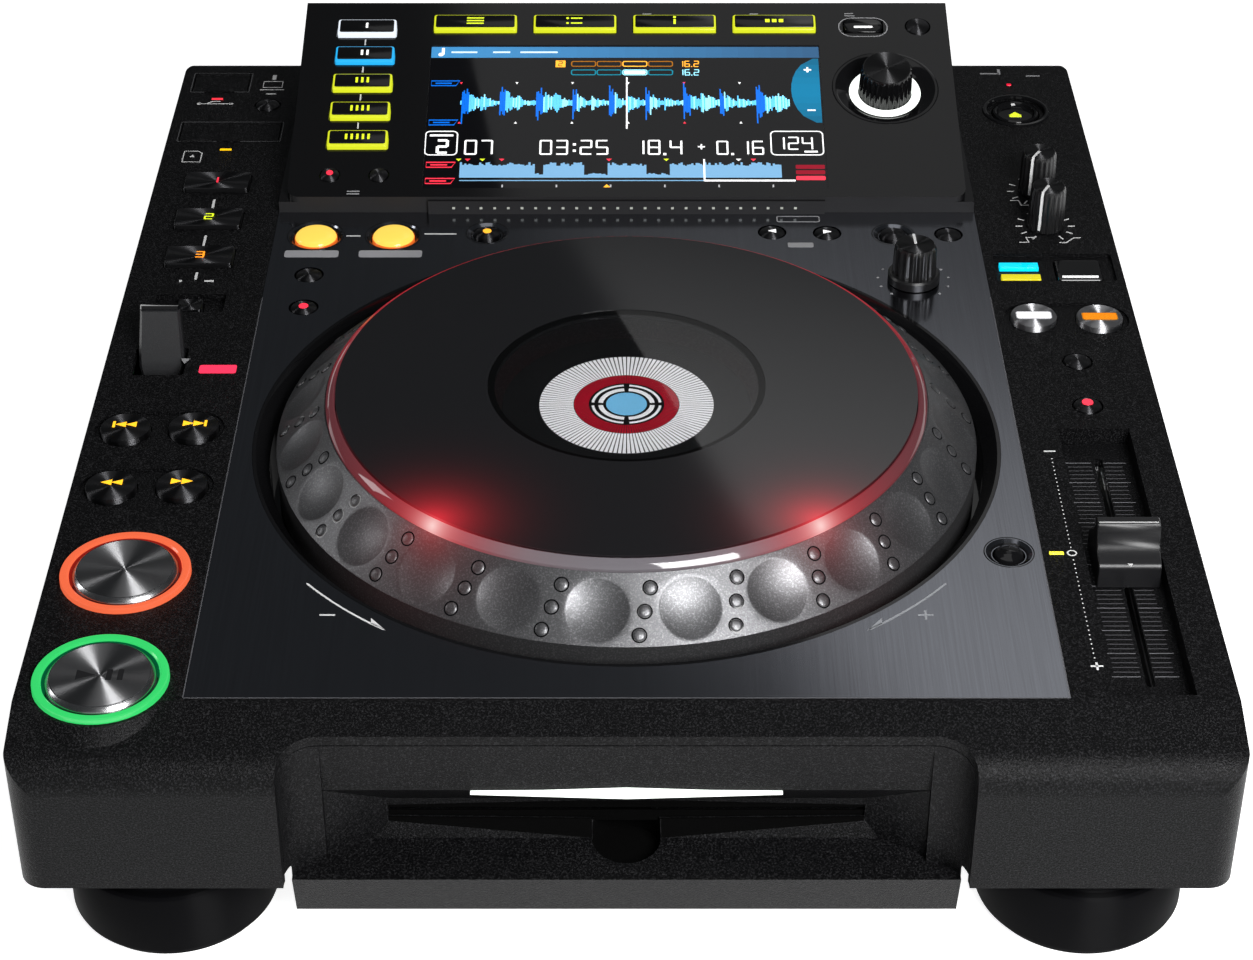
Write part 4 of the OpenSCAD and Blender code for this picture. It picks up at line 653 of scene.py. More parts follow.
def makePiece(name, shape, materials, body, stands=(), sharp=32, at=None):
    mesh = bpy.data.meshes.new(name)
    mesh.from_pydata([tuple(p * mm) for p in shape["points"]], [], shape["faces"])
    for material in materials:
        mesh.materials.append(material)
    mesh.polygons.foreach_set("material_index", shape["slots"])
    work = bmesh.new()
    work.from_mesh(mesh)
    held = work.loops.layers.float_color.new("tint")
    for face, tint in zip(work.faces, shape["tints"]):
        for corner in face.loops:
            corner[held] = (*tint, 1)
    bmesh.ops.remove_doubles(work, verts=work.verts, dist=2e-6)
    bmesh.ops.recalc_face_normals(work, faces=work.faces)
    work.to_mesh(mesh)
    work.free()
    mesh.shade_smooth()
    mesh.set_sharp_from_angle(angle=math.radians(sharp))
    made = bpy.data.objects.new(name, mesh)
    bpy.context.scene.collection.objects.link(made)
    if at:
        made.matrix_world = Matrix.Translation(at.translation * mm) @ at.to_3x3().to_4x4()
    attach(made, body)
    if stands:
        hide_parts(*stands)


def onDeck(x, y):
    return Matrix.Translation((x, y, deck))


display = {"y": 79.1, "z": 81.2, "tilt": 14.8}


def onFace(x, s, lift=0.0):
    base = Matrix.Translation((0, display["y"], display["z"]))
    return base @ Matrix.Rotation(math.radians(display["tilt"]), 4, "X") @ Matrix.Translation((x, s, lift))


# the jog wheel
def makeDial():
    shape = newShape()
    outer, inner = wheel["dialRadius"], wheel["ringOuter"] + 0.4
    low, high = wheel["dialLip"], wheel["dialTop"]
    length = math.hypot(outer - inner, high - low)
    tilt = math.atan2(high - low, outer - inner)
    midRadius = (outer + inner) / 2 + 0.2
    sector = 2 * math.pi / wheel["dimples"]
    dimple, depth = wheel["dimpleRadius"], wheel["dimpleDepth"]
    ball = (dimple ** 2 + depth ** 2) / (2 * depth)
    around = 48
    up, down = length / 2 + 0.27, length / 2 - 0.27
    turns = [2 * math.pi * k / around for k in range(around)]
    for q in (up, -down):
        for side in (1, -1):
            corner = math.atan2(q, side * sector / 2 * (midRadius - q * math.cos(tilt))) % (2 * math.pi)
            turns[round(corner / (2 * math.pi) * around) % around] = corner

    def surface(p, q, lift, turn):
        # p runs round the flank and q up it, both from the dimple's middle
        radius = midRadius - q * math.cos(tilt) + lift * math.sin(tilt)
        height = (low + high) / 2 + q * math.sin(tilt) + lift * math.cos(tilt)
        angle = turn + p / (midRadius - q * math.cos(tilt))
        return Vector((radius * math.cos(angle), wheel["centreY"] + radius * math.sin(angle), height))

    def border(t):
        # where a ray from the dimple's middle leaves its share of the flank
        reach = 99.0
        for q in (up, -down):
            if math.sin(t) * q > 1e-9:
                reach = min(reach, q / math.sin(t))
        side = sector / 2 * midRadius / (abs(math.cos(t)) + sector / 2 * math.cos(tilt) * math.sin(t) + 1e-9)
        return min(reach, side) if abs(math.cos(t)) > 1e-6 else reach

    for number in range(wheel["dimples"]):
        turn = math.radians(wheel["firstDimple"]) + number * sector
        start = len(shape["points"])
        rings = []
        for share in (0.02, 0.25, 0.45, 0.62, 0.76, 0.87, 0.945, 0.985):
            reach = share * dimple
            rings.append([(reach, -(math.sqrt(ball ** 2 - reach ** 2) - ball + depth))] * around)
        rings.append([(dimple * 1.012, -0.03)] * around)
        rings.append([(dimple * 1.035, 0.0)] * around)
        for share in (0.3, 0.65, 1.0):
            edge = dimple * 1.035
            rings.append([(edge + (border(t) - edge) * share, 0.0) for t in turns])
        for ring in rings:
            for k, (reach, lift) in enumerate(ring):
                t = turns[k]
                shape["points"].append(surface(reach * math.cos(t), reach * math.sin(t), lift, turn))
        faces = [tuple(start + k for k in range(around))]
        for i in range(len(rings) - 1):
            for k in range(around):
                after = (k + 1) % around
                faces.append((start + i * around + k, start + i * around + after,
                              start + (i + 1) * around + after, start + (i + 1) * around + k))
        addFaces(shape, faces, 0, None)
        # three raised pins in a slanted row between two dimples, each in a thin black collar that is painted
        # shade standing in for a groove round the pin
        for p, q in wheel["pins"]:
            base = surface(p, q, 0.0, turn + sector / 2)
            away = (surface(p, q, 1.0, turn + sector / 2) - base).normalized()
            stand = Matrix.Translation(base) @ away.to_track_quat("Z", "Y").to_matrix().to_4x4()
            lathe(shape, wheel["pinShadeCollar"], stand, 1, steps=20, closed=True)
            lathe(shape, wheel["pinTop"], stand, steps=20)
    centre = Matrix.Translation((0, wheel["centreY"], 0))
    lathe(shape, [(outer - 3.2, wheel["dialLow"]), (outer, wheel["dialLow"]), (outer, low + 0.02),
                  (outer - 0.5, low + 0.02), (outer - 3.2, low - 3)], centre, 0, steps=192, closed=True)
    lathe(shape, [(inner + 0.2, high - 0.2), (inner - 0.2, high + 0.02), (wheel["ringInner"], high + 0.02),
                  (wheel["ringInner"], 87.5), (84.4, 87.5), (84.4, wheel["dialLow"] + 2.5),
                  (22, wheel["dialLow"] + 2.5), (22, 80.2), (14.1, 80.2), (14.1, wheel["dialLow"]),
                  (86, wheel["dialLow"]), (86, high - 4.5), (inner - 1, high - 4.5)],
          centre, 0, steps=192, closed=True)
    materials = [finish["dial"], finish["gloss_black"]]
    makePiece("jogDial", shape, materials, "jog_wheel", ["jog_dial"])


def makeWheelRing():
    shape = newShape()
    inner, outer, high = wheel["ringInner"], wheel["ringOuter"], wheel["dialTop"]
    profile = [(inner, high), (outer, high), (outer, high + 0.9), (outer - 0.5, high + 1.7),
               (outer - 1.2, high + 2.5), (outer - 1.9, high + 3.0), (inner + 0.4, high + 3.2),
               (inner, high + 3.0)]
    lathe(shape, profile, Matrix.Translation((0, wheel["centreY"], 0)), steps=256, closed=True)
    materials = [finish["ring_light"]]
    makePiece("jogClearRing", shape, materials, "jog_wheel", ["jog_light_ring"])


centreScreen = {"height": 85.2, "lines": 120, "white": (0.82, 0.82, 0.82), "red": (0.36, 0.0, 0.012),
                "blue": (0.16, 0.47, 0.72), "spokes": (("white", 15.6, 25.6), ("red", 11.1, 15.4)),
                "dashes": ((9.5, 10.3), (6.9, 8.3)), "hub": 6.0}


def makeCentreScreen():
    shape = newShape()
    centre = Matrix.Translation((0, wheel["centreY"], 0))
    top = centreScreen["height"]
    lathe(shape, [(0.02, top - 4.0), (36.6, top - 4.0), (36.6, top - 0.4), (25.7, top - 0.4),
                  (25.7, top - 0.1), (0.02, top - 0.1)], centre, steps=96)
    show = centre @ Matrix.Translation((0, 0, top - 0.1))
    count = centreScreen["lines"]
    for k in range(count):
        # a black hair is left between one spoke and the next
        a, b = 2 * math.pi * (k + 0.14) / count, 2 * math.pi * (k + 0.86) / count
        for tint, inner, outer in centreScreen["spokes"]:
            corners = ((inner, a), (outer, a), (outer, b), (inner, b))
            outline = [(r * math.cos(t), r * math.sin(t)) for r, t in corners]
            flat(shape, outline, show, centreScreen[tint], 1)
    for quarter in range(4):
        for inner, outer in centreScreen["dashes"]:
            stroke(shape, arcPath((inner + outer) / 2, quarter * 90 + 5, quarter * 90 + 85), outer - inner,
                   show, centreScreen["white"], 1)
    hub = centreScreen["hub"]
    lathe(shape, [(0.02, -0.03), (hub, -0.03), (hub, 0.05), (0.02, 0.05)], show, 1, centreScreen["blue"],
          steps=48)
    makePiece("jogCentreScreen", shape, [finish["jog_screen"], glowInk], "root",
              ["jog_center_display"])


makeDial()
makeWheelRing()
makeCentreScreen()
print("jog wheel made")


# outlines for print and symbols
def shifted(outline, x, y):
    return [(px + x, py + y) for px, py in outline]


def arrowHead(size, way=1):
    return [(way * size * 0.5, 0), (-way * size * 0.5, size * 0.42), (-way * size * 0.5, -size * 0.42)]


def dot(radius, x=0.0, y=0.0, steps=20):
    return [(px, py) for px, py, _ in circle(radius, 0, steps, x, y)]


def bar(width, depth, x=0.0, y=0.0):
    return [(x - width / 2, y - depth / 2), (x + width / 2, y - depth / 2),
            (x + width / 2, y + depth / 2), (x - width / 2, y + depth / 2)]


def pill(width, depth, radius, x=0.0, y=0.0):
    return [(px + x, py + y) for px, py, _ in roundBox(width, depth, radius, 0)]


segments = {"a": (0, 1, 1, 1), "b": (1, 0.5, 1, 1), "c": (1, 0, 1, 0.5), "d": (0, 0, 1, 0),
            "e": (0, 0, 0, 0.5), "f": (0, 0.5, 0, 1), "g": (0, 0.5, 1, 0.5)}
litSegments = {"0": "abcdef", "1": "bc", "2": "abged", "3": "abgcd", "4": "fgbc", "5": "afgcd",
               "6": "afgedc", "7": "abc", "8": "abcdefg", "9": "abfgcd"}


advances = {".": 0.3, ":": 0.42}


def numerals(shape, marks, x, y, height, at, tint, weight=0.13):
    wide, line, point = height * 0.55, height * weight, height * 0.16
    for mark in marks:
        for name in litSegments.get(mark, ""):
            x0, y0, x1, y1 = segments[name]
            ends = [(x + x0 * wide, y + y0 * height), (x + x1 * wide, y + y1 * height)]
            stroke(shape, ends, line, at, tint)
        if mark == ".":
            flat(shape, bar(point, point, x, y), at, tint)
        if mark == ":":
            for share in (0.25, 0.72):
                flat(shape, bar(point, point, x + 0.1 * height, y + share * height), at, tint)
        if mark == "+":
            flat(shape, bar(wide, line, x + wide / 2, y + height / 2), at, tint)
            flat(shape, bar(line, wide, x + wide / 2, y + height / 2), at, tint, 0, -0.02, 0.06)
        x += height * advances.get(mark, 0.82)


white, grey, dark = (0.8, 0.8, 0.8), (0.33, 0.33, 0.34), (0.012, 0.012, 0.013)
red, amber, orange = (0.85, 0.03, 0.06), (1.0, 0.42, 0.03), (1.0, 0.32, 0.02)
yellowGreen, amberMark = (0.6, 0.72, 0.02), (1.0, 0.5, 0.02)


# keys, one piece each, with its own middle as its origin
def keyBody(shape, radius, low, skirt, edge, dish, stem=1.6):
    # heights run down from the key's top
    lathe(shape, [(0.02, low), (stem, low), (stem, skirt), (radius, skirt), (radius, -edge),
                  (radius - edge * 0.3, -edge * 0.3), (radius - edge, 0), (radius * 0.5, -dish * 0.75),
                  (0.02, -dish)])


def roundKey(name, node, x, y, radius, top, material, marks=(), edge=0.5, dish=0.15):
    shape = newShape()
    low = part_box(node)[0].z / mm
    keyBody(shape, radius, low - top, deck - 7 - top, edge, dish)
    for outline, tint in marks:
        flat(shape, outline, Matrix.Translation((0, 0, max(-dish, -dish * 0.6))), tint, 1, -0.4, 0.1)
    makePiece(name, shape, [finish[material], glowInk], node, [node],
              at=Matrix.Translation((x, y, top)))


def skipMarks(way, barred):
    marks = [(shifted(arrowHead(3.1, way), -1.65 * way, 0), amberMark),
             (shifted(arrowHead(3.1, way), 1.45 * way, 0), amberMark)]
    if barred:
        marks.append((bar(0.75, 3.0, 3.5 * way, 0), amberMark))
    return [([(px, py + 1.4) for px, py in outline], tint) for outline, tint in marks]


searchKeys = {"radius": 7.4, "top": 76.3, "places": {
    "trackBackKey": ("track_search_back", -148.5, -50.4, skipMarks(-1, True)),
    "trackForwardKey": ("track_search_forward", -128.4, -49.8, skipMarks(1, True)),
    "searchBackKey": ("search_back", -148.4, -80.3, skipMarks(-1, False)),
    "searchForwardKey": ("search_forward", -128.1, -79.7, skipMarks(1, False))}}
for name, (node, x, y, marks) in searchKeys["places"].items():
    roundKey(name, node, x, y, searchKeys["radius"], searchKeys["top"], "spun_black", marks)

syncKeys = {"radius": 7.2, "top": 76.3, "places": {
    "syncButton": ("sync_button", 128.0, 12.5, grey, (0.95, 0.95, 0.95)),
    "masterButton": ("master_button", 148.6, 11.8, (0.25, 0.1, 0.0), orange)}}
for name, (node, x, y, rim, face) in syncKeys["places"].items():
    marks = [(pill(11.2, 4.2, 0.8), rim), (pill(10.6, 3.6, 0.6), face)]
    roundKey(name, node, x, y, syncKeys["radius"], syncKeys["top"], "spun_bright", marks)

stopKey = {"place": (-127.5, 155.7), "radius": 4.4, "top": 75.9}
resetKey = {"place": (106.7, -111.6), "radius": 4.3, "top": 75.5}
roundKey("usbStopKey", "usb_stop_button", *stopKey["place"], stopKey["radius"], stopKey["top"], "spun_black",
         edge=1.2, dish=-0.5)
roundKey("tempoResetKey", "tempo_reset_button", *resetKey["place"], resetKey["radius"], resetKey["top"],
         "gloss_black", edge=1.5, dish=-0.6)

smallKeys = {"radius": 4.3, "places": {
    "reloopKey": ("loop_mode_keys", -45.9, 65.5, 75.7, [(dot(1.4), amber)]),
    "loopModeKey": ("loop_mode_keys", -102.2, 38.7, 75.5, []),
    "slipKey": ("loop_mode_keys", -102.1, 18.7, 75.5, [(dot(1.5), red)]),
    "callBackKey": ("call_memory_keys", 48.0, 65.9, 75.5, [(arrowHead(2.6, -1), white)]),
    "callForwardKey": ("call_memory_keys", 66.1, 65.4, 75.5, [(arrowHead(2.6, 1), white)]),
    "deleteKey": ("call_memory_keys", 87.8, 64.7, 75.7, []),
    "memoryKey": ("call_memory_keys", 106.0, 64.5, 75.5, []),
    "tempoRangeKey": ("tempo_mode_keys", 138.5, -13.0, 75.7, []),
    "masterTempoKey": ("tempo_mode_keys", 138.4, -37.6, 75.7, [(dot(1.7, 0, 0.8), red)])}}
for name, (node, x, y, top, marks) in smallKeys["places"].items():
    roundKey(name, node, x, y, smallKeys["radius"], top, "spun_black", marks, edge=0.9, dish=-0.35)

loopButtons = {"radius": 7.0, "top": 76.2,
               "places": {"loopInButton": (-102.2, 63.8), "loopOutButton": (-76.7, 63.9)}}


def makeLoopButton(name, x, y):
    # amber dome over a deeper orange skirt
    shape = newShape()
    radius, top = loopButtons["radius"], loopButtons["top"]
    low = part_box("loop_in_out_buttons")[0].z / mm - top
    lathe(shape, [(0.02, low), (1.6, low), (1.6, -7.5), (radius, -7.5), (radius, -1.7),
                  (radius - 0.15, -1.5), (0.02, -1.5)])
    lathe(shape, [(0.02, -1.6), (radius - 0.2, -1.6), (radius - 0.35, -1.0), (radius - 0.9, -0.35),
                  (radius - 1.8, 0.0), (radius - 4.0, 0.25), (0.02, 0.35)], slot=1)
    materials = [finish["amber_skirt"], finish["amber_light"]]
    makePiece(name, shape, materials, "loop_in_out_buttons", ["loop_in_out_buttons"],
              at=Matrix.Translation((x, y, top)))


for name, (x, y) in loopButtons["places"].items():
    makeLoopButton(name, x, y)

transport = {"button": 14.6, "top": 77.3, "ringInner": 15.5, "ringOuter": 18.0, "ringTop": 76.9,
             "cue": (-138.2, -121.8), "play": (-138.1, -168.3)}


def makeTransport(name, marks):
    shape = newShape()
    button, ring, (x, y) = f"{name}_button", f"{name}_ring_lens", transport[name]
    top, radius = transport["top"], transport["button"]
    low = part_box(button)[0].z / mm
    lathe(shape, [(0.02, low - top), (1.6, low - top), (1.6, -5), (radius, -5), (radius, -1.2),
                  (radius - 0.2, -0.9), (radius - 1.1, -0.12), (radius - 1.35, 0), (1.0, -0.1), (0.9, -0.25),
                  (0.02, -0.3)], steps=96)
    # bright turned bevel
    lathe(shape, [(radius - 1.4, -0.3), (radius - 1.4, 0.02), (radius - 1.15, 0.0), (radius - 0.2, -0.8),
                  (radius + 0.03, -1.2), (radius - 0.2, -1.3)], slot=2, steps=96, closed=True)
    for outline, tint in marks:
        flat(shape, outline, Matrix.Translation((0, 0, -0.08)), tint, 1, -0.1, 0.07)
    materials = [finish["spun_metal"], printAndHighlightInk, finish["bevel"]]
    makePiece(name + "Disc", shape, materials, button, [button],
              at=Matrix.Translation((x, y, top)))
    shape = newShape()
    inner, outer, high = transport["ringInner"], transport["ringOuter"], transport["ringTop"]
    lathe(shape, [(inner, high - 6.5), (outer, high - 6.5), (outer, high - 0.5), (outer - 0.15, high - 0.15),
                  (outer - 0.5, high), (inner + 0.5, high - 0.15), (inner + 0.1, high - 0.5)],
          Matrix.Translation((x, y, 0)), steps=96, closed=True)
    makePiece(name + "Ring", shape, [finish[name + "_light"]], "root", [ring])
    shape = newShape()
    lathe(shape, [(inner - 0.12, high - 6.5), (inner - 0.02, high - 6.5), (inner - 0.02, high - 0.7),
                  (inner - 0.12, high - 0.7)], Matrix.Translation((x, y, 0)), steps=96, closed=True)
    makePiece(name + "Glow", shape, [finish[name + "_deep"]], "root")


makeTransport("cue", [])
makeTransport("play", [(shifted(arrowHead(5.0, 1), -3.8, 0), dark), (bar(1.5, 4.4, 2.4, 0), dark),
                       (bar(1.5, 4.4, 5.4, 0), dark)])
print("round keys made")


def blockKey(name, node, x, y, width, depth, top, marks=(), facets=True, sink=0.7):
    # four facets meet in a low middle, or a plain top
    shape = newShape()
    edge = 0.5
    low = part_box(node)[0].z / mm
    lathe(shape, [(0.02, low - top), (1.6, low - top), (1.6, -4), (0.02, -4)], steps=16)
    rim = [(px, py, -edge * 0.2) for px, py, _ in roundBox(width - edge, depth - edge, 0.8, 0)]
    loops = [roundBox(width, depth, 1.1, deck - 6 - top), roundBox(width, depth, 1.1, -edge), rim]
    if facets:
        loops.append([(px * 0.94, py * 0.9, -edge * 0.2 - 0.02) for px, py, _ in rim])
        loops.append([(px * 0.02, py * 0.02, -sink) for px, py, _ in rim])
    else:
        loops.append([(px * 0.9, py * 0.9, 0.0) for px, py, _ in rim])
    skin(shape, loops)
    for outline, tint in marks:
        flat(shape, outline, Matrix.Translation((0, 0, -sink * 0.8 if facets else 0)), tint, 1, -0.3, 0.25)
    materials = [finish["spun_black" if facets else "gloss_black"], glowInk]
    makePiece(name, shape, materials, node, [node], 4, Matrix.Translation((x, y, top)))


hotCues = {"x": -138.6, "rows": (98.6, 73.8, 49.0), "size": (22.0, 11.4), "top": 76.9,
           "tints": (red, yellowGreen, orange)}
for number, (y, tint) in enumerate(zip(hotCues["rows"], hotCues["tints"]), 1):
    node = f"hot_cue_key_{number}"
    blockKey(f"hotCueKey{number}", node, hotCues["x"], y, *hotCues["size"], hotCues["top"])
    shape = newShape()
    spread = Matrix.Translation((0, 0, -0.22)) @ Matrix.Diagonal((1.35, 1.0, 1.0, 1.0))
    numerals(shape, str(number), -0.9 if number > 1 else -1.8, -1.7, 3.4, spread, tint)
    makePiece(f"hotCueNumeral{number}", shape, [glowInk], node,
              at=Matrix.Translation((hotCues["x"], y + 0.3, hotCues["top"])))

recordKey = {"place": (-138.4, 21.3), "size": (7.8, 7.0), "top": 74.9}
blockKey("recordKey", "record_key", *recordKey["place"], *recordKey["size"], recordKey["top"], sink=0.4)
modeKey = {"place": (146.0, 42.1), "size": (14.5, 12.8), "top": 75.1}
blockKey("jogModeKey", "jog_mode_key", *modeKey["place"], *modeKey["size"], modeKey["top"],
         [(bar(11.6, 0.8, 0, -4.4), white)], False)

eject = {"place": (137.8, 151.4), "top": 75.2, "floor": -1.75}


def makeEject():
    shape = newShape()
    lathe(shape, [(10.2, -0.6), (11.9, -0.1), (11.9, 0.12), (11.5, 0.5), (10.8, 0.62), (10.3, 0.4),
                  (10.05, -0.3)], onDeck(*eject["place"]), steps=96, closed=True)
    makePiece("ejectBezel", shape, [finish["gloss_black"]], "root")
    shape = newShape()
    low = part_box("eject_button")[0].z / mm - eject["top"]
    lathe(shape, [(0.02, low), (1.6, low), (1.6, -7), (8.2, -7), (8.2, -0.9), (7.9, -0.3), (7.3, 0.0),
                  (6.7, -0.3), (6.3, -1.3), (5.9, -1.6), (0.02, -1.8)])
    for outline in ([(-2.1, 0.2), (2.1, 0.2), (0, 2.4)], bar(4.2, 0.85, 0, -0.7)):
        flat(shape, outline, Matrix.Translation((0, 0, eject["floor"])), yellowGreen, 1, -0.2, 0.15)
    makePiece("ejectButton", shape, [finish["gloss_black"], glowInk], "eject_button",
              ["eject_button"], at=Matrix.Translation((*eject["place"], eject["top"])))


makeEject()


knobs = {"touchBrake": (138.2, 93.4), "releaseStart": (138.5, 69.9), "jogAdjust": (92.1, 35.5),
         "selector": (89.1, 53.7)}


def knob(name, node, at, radius, low, height, flutes, pointer, skirt=None, depth=0.16, line=True,
         grip="knob"):
    # fluted side, spun top and a white pointer line over both
    shape = newShape()
    count = flutes * 8
    if skirt:
        lathe(shape, [(0.02, low), (skirt[0], low), (skirt[0], skirt[1] - 0.6), (skirt[0] - 0.5, skirt[1]),
                      (0.02, skirt[1])])
    loops = []
    for share, shrink in ((0.0, 0.0), (0.86, 0.35), (0.93, 0.45), (0.98, 0.75)):
        loop = []
        for k in range(count):
            t = 2 * math.pi * k / count
            ridge = depth * math.cos(flutes * t) * (1 if share < 0.9 else 0.2)
            loop.append(((radius - shrink + ridge) * math.cos(t), (radius - shrink + ridge) * math.sin(t),
                         low + share * (height - low)))
        loops.append(loop)
    skin(shape, loops)
    lathe(shape, [(0.02, height - 1.2), (radius - 0.95, height - 1.2), (radius - 0.95, height - 0.1),
                  (radius - 1.1, height), (0.02, height - 0.25)], slot=1)
    if line:
        turn = Matrix.Rotation(math.radians(pointer), 4, "Z")
        flat(shape, [(0.2, -0.42), (radius - 0.8, -0.42), (radius - 0.8, 0.42), (0.2, 0.42)],
             turn @ Matrix.Translation((0, 0, height - 0.08)), white, 2, -0.1, 0.12)
        # inner and outer edge of the line on its way down the side
        side = []
        for inner, innerZ, outer, outerZ in ((0.9, height - 0.1, 0.75, height + 0.04),
                                             (0.8, height - 1.4, 0.2, height - 1.3),
                                             (0.8, low + 1.2, -0.24, low + 1.2)):
            side.append([(radius - inner, -0.42, innerZ), (radius - inner, 0.42, innerZ),
                         (radius - outer, 0.42, outerZ), (radius - outer, -0.42, outerZ)])
        skin(shape, side, turn, 2, white)
    materials = [finish[grip], finish["knob_top"], printAndHighlightInk]
    makePiece(name, shape, materials, node, [node], at=at)


knob("touchBrakeKnob", "touch_brake_knob", onDeck(*knobs["touchBrake"]), 6.0, 0.3, 15.5, 20, -120)
knob("releaseStartKnob", "release_start_knob", onDeck(*knobs["releaseStart"]), 6.0, 0.3, 15.5, 20, -118)
knob("jogAdjustKnob", "jog_adjust_knob", onDeck(*knobs["jogAdjust"]), 6.8, 0.3, 13.5, 18, 92,
     (8.3, 3.3), 0.35)
knob("selectorKnob", "selector_knob", onFace(*knobs["selector"]), 8.9, -2.1, 9.3, 28, 0, None, 0.3, False,
     "gloss_black")
print("knobs made")

displayKeys = {"sourceX": -91.0, "sourceRows": [83.9 - 14.2 * k for k in range(5)],
               "sourceSize": (20.3, 8.0), "menuXs": [-53.1 + 35 * k for k in range(4)], "menuS": 86.4,
               "menuSize": (29.0, 8.0), "proud": 1.6}


def glowingKeys(name, node, spots, size, materials, marks):
    # lit rim with a black cap let into it
    for number, ((x, s), material) in enumerate(zip(spots, materials), 1):
        shape = newShape()
        high, (width, depth) = displayKeys["proud"], size
        softBlock(shape, width, depth, -3.0, high - 0.25, 0.9, 0.4)
        softBlock(shape, width - 1.3, depth - 1.7, high - 0.7, high, 0.7, 0.3,
                  Matrix.Translation((0, 0.35, 0)), 1)
        for outline, tint in marks(number):
            flat(shape, outline, Matrix.Translation((0, 0.45, high)), tint, 2)
        makePiece(f"{name}{number}", shape, [material, finish["key_cap"], glowInk], node, [node],
                  at=onFace(x, s))


def sourceMarks(number):
    tint = white if number < 3 else yellowGreen
    return [(bar(0.8, 2.6, (k - (number - 1) / 2) * 1.9, 0), tint) for k in range(number)]


def menuMarks(number):
    icons = {1: [bar(6, 0.6, 0, 1.4), bar(6, 0.6, 0, 0), bar(6, 0.6, 0, -1.4)],
             2: [dot(0.5, -2.6, 1.3), bar(4, 0.6, 0.6, 1.3), dot(0.5, -2.6, -1.3), bar(4, 0.6, 0.6, -1.3)],
             3: [dot(0.55, 0, 1.9), bar(0.8, 2.6, 0, -0.5)],
             4: [bar(1.6, 1.6, -2.4, 0), bar(1.6, 1.6, 0, 0), bar(1.6, 1.6, 2.4, 0)]}
    return [(outline, yellowGreen) for outline in icons[number]]


glowingKeys("sourceKey", "source_keys", [(displayKeys["sourceX"], s) for s in displayKeys["sourceRows"]],
            displayKeys["sourceSize"], [finish["key_white"], finish["key_cyan"]] + [finish["lit_key"]] * 3,
            sourceMarks)
glowingKeys("menuKey", "menu_keys", [(x, displayKeys["menuS"]) for x in displayKeys["menuXs"]],
            displayKeys["menuSize"], [finish["lit_key"]] * 4, menuMarks)

# place across and up the face, radius, marks
faceKeys = {"quantizeKey": (-99.3, 10.4, 3.2, [(dot(1.15, 0, 0.4), red)]),
            "timeModeKey": (-82.9, 10.4, 3.2, []), "tagKey": (102.3, 85.5, 4.2, [])}
backKey = {"place": (83.1, 85.7), "width": 13.6, "depth": 7.0}


def smallFaceKeys():
    for name, (x, s, radius, marks) in faceKeys.items():
        shape = newShape()
        keyBody(shape, radius, -4.0, -3.0, 0.8, -0.3, stem=1.2)
        for outline, tint in marks:
            flat(shape, outline, Matrix.Translation((0, 0, 0.1)), tint, 1, -0.2, 0.22)
        makePiece(name, shape, [finish["spun_black"], glowInk], "display_small_keys",
                  ["display_small_keys"], at=onFace(x, s, 0.5))
    shape = newShape()
    softBlock(shape, backKey["width"], backKey["depth"], -3.0, 0.5, 3.3, 0.5)
    flat(shape, pill(6.6, 1.0, 0.4, 0, -0.9), Matrix.Translation((0, 0, 0.5)), white, 1)
    makePiece("backKey", shape, [finish["gloss_black"], glowInk], "display_small_keys",
              ["display_small_keys"], at=onFace(*backKey["place"]))


smallFaceKeys()


def makeSelectorBezel():
    # a painted reflection: white ring glowing at the bottom of the black dish
    shape = newShape()
    lathe(shape, [(9.3, -2.9), (12.4, -2.9), (12.4, -2.2), (12.1, -1.9), (9.3, -1.9)], steps=96, closed=True)
    middle = onFace(*knobs["selector"])
    makePiece("selectorRing", shape, [finish["white_light"]], "root", at=middle)
    shape = newShape()
    lathe(shape, [(12.4, -2.9), (18.2, -0.1), (18.2, 0.12), (17.4, 0.25), (16.8, 0.1), (12.6, -2.2)],
          steps=96, closed=True)
    makePiece("selectorBezel", shape, [finish["gloss_black"]], "root", at=middle)


makeSelectorBezel()
print("display keys made")

screenTints = {"deepBlue": (0.0, 0.12, 0.6), "lightBlue": (0.1, 0.5, 0.9), "steel": (0.14, 0.3, 0.47),
               "paleCyan": (0.3, 0.75, 0.9), "dimAmber": (0.3, 0.1, 0.0), "dimCyan": (0.0, 0.18, 0.26),
               "dimRed": (0.2, 0.0, 0.01)}
# bursts of sound on the beat: start, length and loudness in millimetres on the screen
bursts = [(-56.0 + 6.3 * k, random.uniform(3.0, 7.0), (9.2, 5.0, 8.2, 3.6)[k % 4]) for k in range(18)]


def loudness(x):
    level = 1.1
    for start, length, loud in bursts:
        if start <= x < start + length * 1.6:
            level = max(level, loud * math.exp(-1.1 * (x - start) / length))
    return level * 1.25


